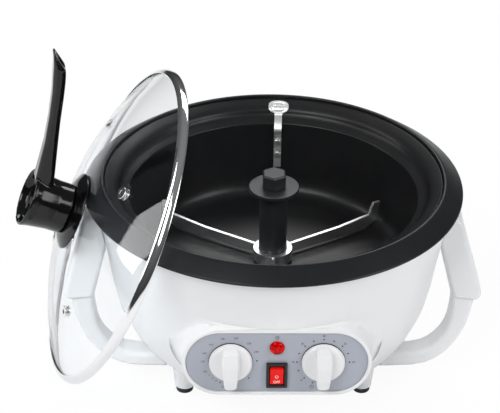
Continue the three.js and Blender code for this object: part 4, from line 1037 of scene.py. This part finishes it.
# Switch lettering: text, place along the rocker from its middle, and size
rockerLook = dict(
    lift=0.05, thickness=0.06, marks=(("O", -0.9, 3.4), ("OFF", -5.1, 2.9)), castHeight=30.0, smoothAngle=30,
)


# The lettering is laid on the rocker's own surface.
def makeRockerMarks():
    look = rockerLook
    rocker = mergedMesh("switch_rocker")
    rocker.transform(toPanel)
    surface = BVHTree.FromBMesh(rocker)
    corners = [vertex.co for vertex in rocker.verts]
    lows, highs = [[pick(corner[i] for corner in corners) for i in range(3)] for pick in (min, max)]
    middle = Vector([(low + high) / 2 for low, high in zip(lows, highs)])
    rocker.free()
    made = bmesh.new()
    for text, offset, size in look["marks"]:
        place = Vector((middle.x, middle.y + offset))
        addText(made, text, place, size, (look["lift"], look["lift"] + look["thickness"]))
    for vertex in made.verts:
        above = Vector((vertex.co.x, vertex.co.y, look["castHeight"]))
        hit = surface.ray_cast(above, Vector((0, 0, -1)))[0]
        vertex.co.z += hit.z if hit else middle.z
    made.transform(fromPanel)
    mesh = finishMesh(made, "switchMarks", look["smoothAngle"])
    addPiece("switch_marks", mesh, bodyOf["switch_rocker"], "rocker_red", inkWhite)


makePrint()
makeRockerMarks()
print("panel printed")


# Camera, from the photograph's perspective; its lengths are in metres

cameraLook = dict(
    photoWidth=500, focalPixels=1919.8, sensor=36.0, distance=1.5, target=0.1,
    elevation=30.734, azimuth=1.303, roll=0.809, right=0.01801, up=-0.02075,
)


def makeCamera():
    look = cameraLook
    lift, turn, roll = [math.radians(look[key]) for key in ("elevation", "azimuth", "roll")]
    spin = Matrix(((math.cos(turn), -math.sin(turn), 0), (math.sin(turn), math.cos(turn), 0), (0, 0, 1)))
    tilt = Matrix(((1, 0, 0), (0, math.sin(lift), math.cos(lift)), (0, -math.cos(lift), math.sin(lift))))
    bank = Matrix(((math.cos(roll), math.sin(roll), 0), (-math.sin(roll), math.cos(roll), 0), (0, 0, 1)))
    rows = bank @ tilt @ spin
    target = panAxis.translation + Vector((0, 0, look["target"]))
    place = target + rows.transposed() @ Vector((-look["right"], -look["up"], look["distance"]))
    data = bpy.data.cameras.new("camera")
    data.sensor_fit = "HORIZONTAL"
    data.sensor_width = look["sensor"]
    data.lens = look["focalPixels"] / look["photoWidth"] * look["sensor"]
    camera = addObject("camera", data)
    camera.matrix_world = Matrix.Translation(place) @ rows.transposed().to_4x4()
    bpy.context.scene.camera = camera


# Floor, world and lamps; their lengths are in metres and their power in watts

stageLook = dict(
    floorSize=6.0, floorColor=(0.86, 0.86, 0.865), floorRoughness=0.9, floorShine=0.1, floorGlow=1.0,
    floorShare=0.93, worldTint=(0.96, 0.98, 1.0), worldLow=0.08, worldHigh=0.46, mirrorShare=0.5, aim=0.1,
)
lampLooks = {
    "keyLamp": dict(place=(-0.9, -1.3, 1.7), size=(1.3, 1.0), power=25.5),
    "fillLamp": dict(place=(1.5, -0.9, 1.1), size=(1.0, 1.0), power=15.5),
    "backLamp": dict(place=(0.3, 1.5, 1.6), size=(1.6, 0.7), power=20.0),
    "stripLamp": dict(place=(-1.6, 0.2, 0.9), size=(0.3, 1.4), power=8.0),
}
white = opaque((1, 1, 1))
firstBounce = 0.5  # between no bounce and one


# 1 for rays that come from the camera, straight or through the glass alone
def sightOf(tree, rays):
    bounces = mathNode(tree, "ADD", rays.outputs["Diffuse Depth"], rays.outputs["Glossy Depth"])
    straight = mathNode(tree, "LESS_THAN", bounces, firstBounce)
    through = mathNode(tree, "MULTIPLY", rays.outputs["Is Transmission Ray"], straight)
    return mathNode(tree, "MAXIMUM", rays.outputs["Is Camera Ray"], through)


# White to the camera and clear from below, so that it hides nothing
def floorSurface():
    look = stageLook
    material, tree, shader = newMaterial("floorWhite")
    shader.inputs["Base Color"].default_value = opaque(look["floorColor"])
    shader.inputs["Roughness"].default_value = look["floorRoughness"]
    shader.inputs["Specular IOR Level"].default_value = look["floorShine"]
    glow = tree.nodes.new("ShaderNodeEmission")
    glow.inputs["Color"].default_value = white
    glow.inputs["Strength"].default_value = look["floorGlow"]
    seen = sightOf(tree, tree.nodes.new("ShaderNodeLightPath"))
    share = mathNode(tree, "MULTIPLY", seen, look["floorShare"])
    front = mixShaders(tree, share, shader.outputs[0], glow.outputs[0])
    clear = tree.nodes.new("ShaderNodeBsdfTransparent")
    behind = tree.nodes.new("ShaderNodeNewGeometry").outputs["Backfacing"]
    surface = mixShaders(tree, behind, front, clear.outputs[0])
    tree.links.new(surface, tree.nodes["Material Output"].inputs["Surface"])
    return material


def makeFloor():
    half = stageLook["floorSize"] / 2
    corners = ((-half, -half), (half, -half), (half, half), (-half, half))
    made = bmesh.new()
    made.faces.new([made.verts.new((x, y, 0)) for x, y in corners])
    mesh = bpy.data.meshes.new("floor")
    made.to_mesh(mesh)
    made.free()
    mesh.materials.append(floorSurface())
    floor = addObject("floor", mesh)


def makeWorld():
    look = stageLook
    world = bpy.data.worlds.new("studio")
    bpy.context.scene.world = world
    world.use_nodes = True
    tree = world.node_tree
    base = tree.nodes["Background"]
    base.inputs["Color"].default_value = opaque(look["worldTint"])
    split = tree.nodes.new("ShaderNodeSeparateXYZ")
    tree.links.new(tree.nodes.new("ShaderNodeTexCoord").outputs["Generated"], split.inputs[0])
    light = rangeNode(tree, split.outputs["Z"], 0.0, 1.0, look["worldLow"], look["worldHigh"])
    rays = tree.nodes.new("ShaderNodeLightPath")
    mirrored = rangeNode(tree, rays.outputs["Is Glossy Ray"], 0.0, 1.0, 1.0, look["mirrorShare"])
    tree.links.new(mathNode(tree, "MULTIPLY", light, mirrored), base.inputs["Strength"])
    bright = tree.nodes.new("ShaderNodeBackground")
    bright.inputs["Color"].default_value = white
    surface = mixShaders(tree, sightOf(tree, rays), base.outputs[0], bright.outputs[0])
    tree.links.new(surface, tree.nodes["World Output"].inputs["Surface"])


def makeLamps():
    aim = Vector((panAxis.translation.x, 0, stageLook["aim"]))
    for name, look in lampLooks.items():
        data = bpy.data.lights.new(name, "AREA")
        data.shape = "RECTANGLE"
        data.size, data.size_y = look["size"]
        data.energy = look["power"]
        lamp = addObject(name, data)
        lamp.location = look["place"]
        lamp.rotation_euler = (aim - Vector(look["place"])).to_track_quat("-Z", "Y").to_euler()


makeCamera()
makeFloor()
makeWorld()
makeLamps()
bpy.context.scene.view_settings.view_transform = "Standard"
print("stage set")
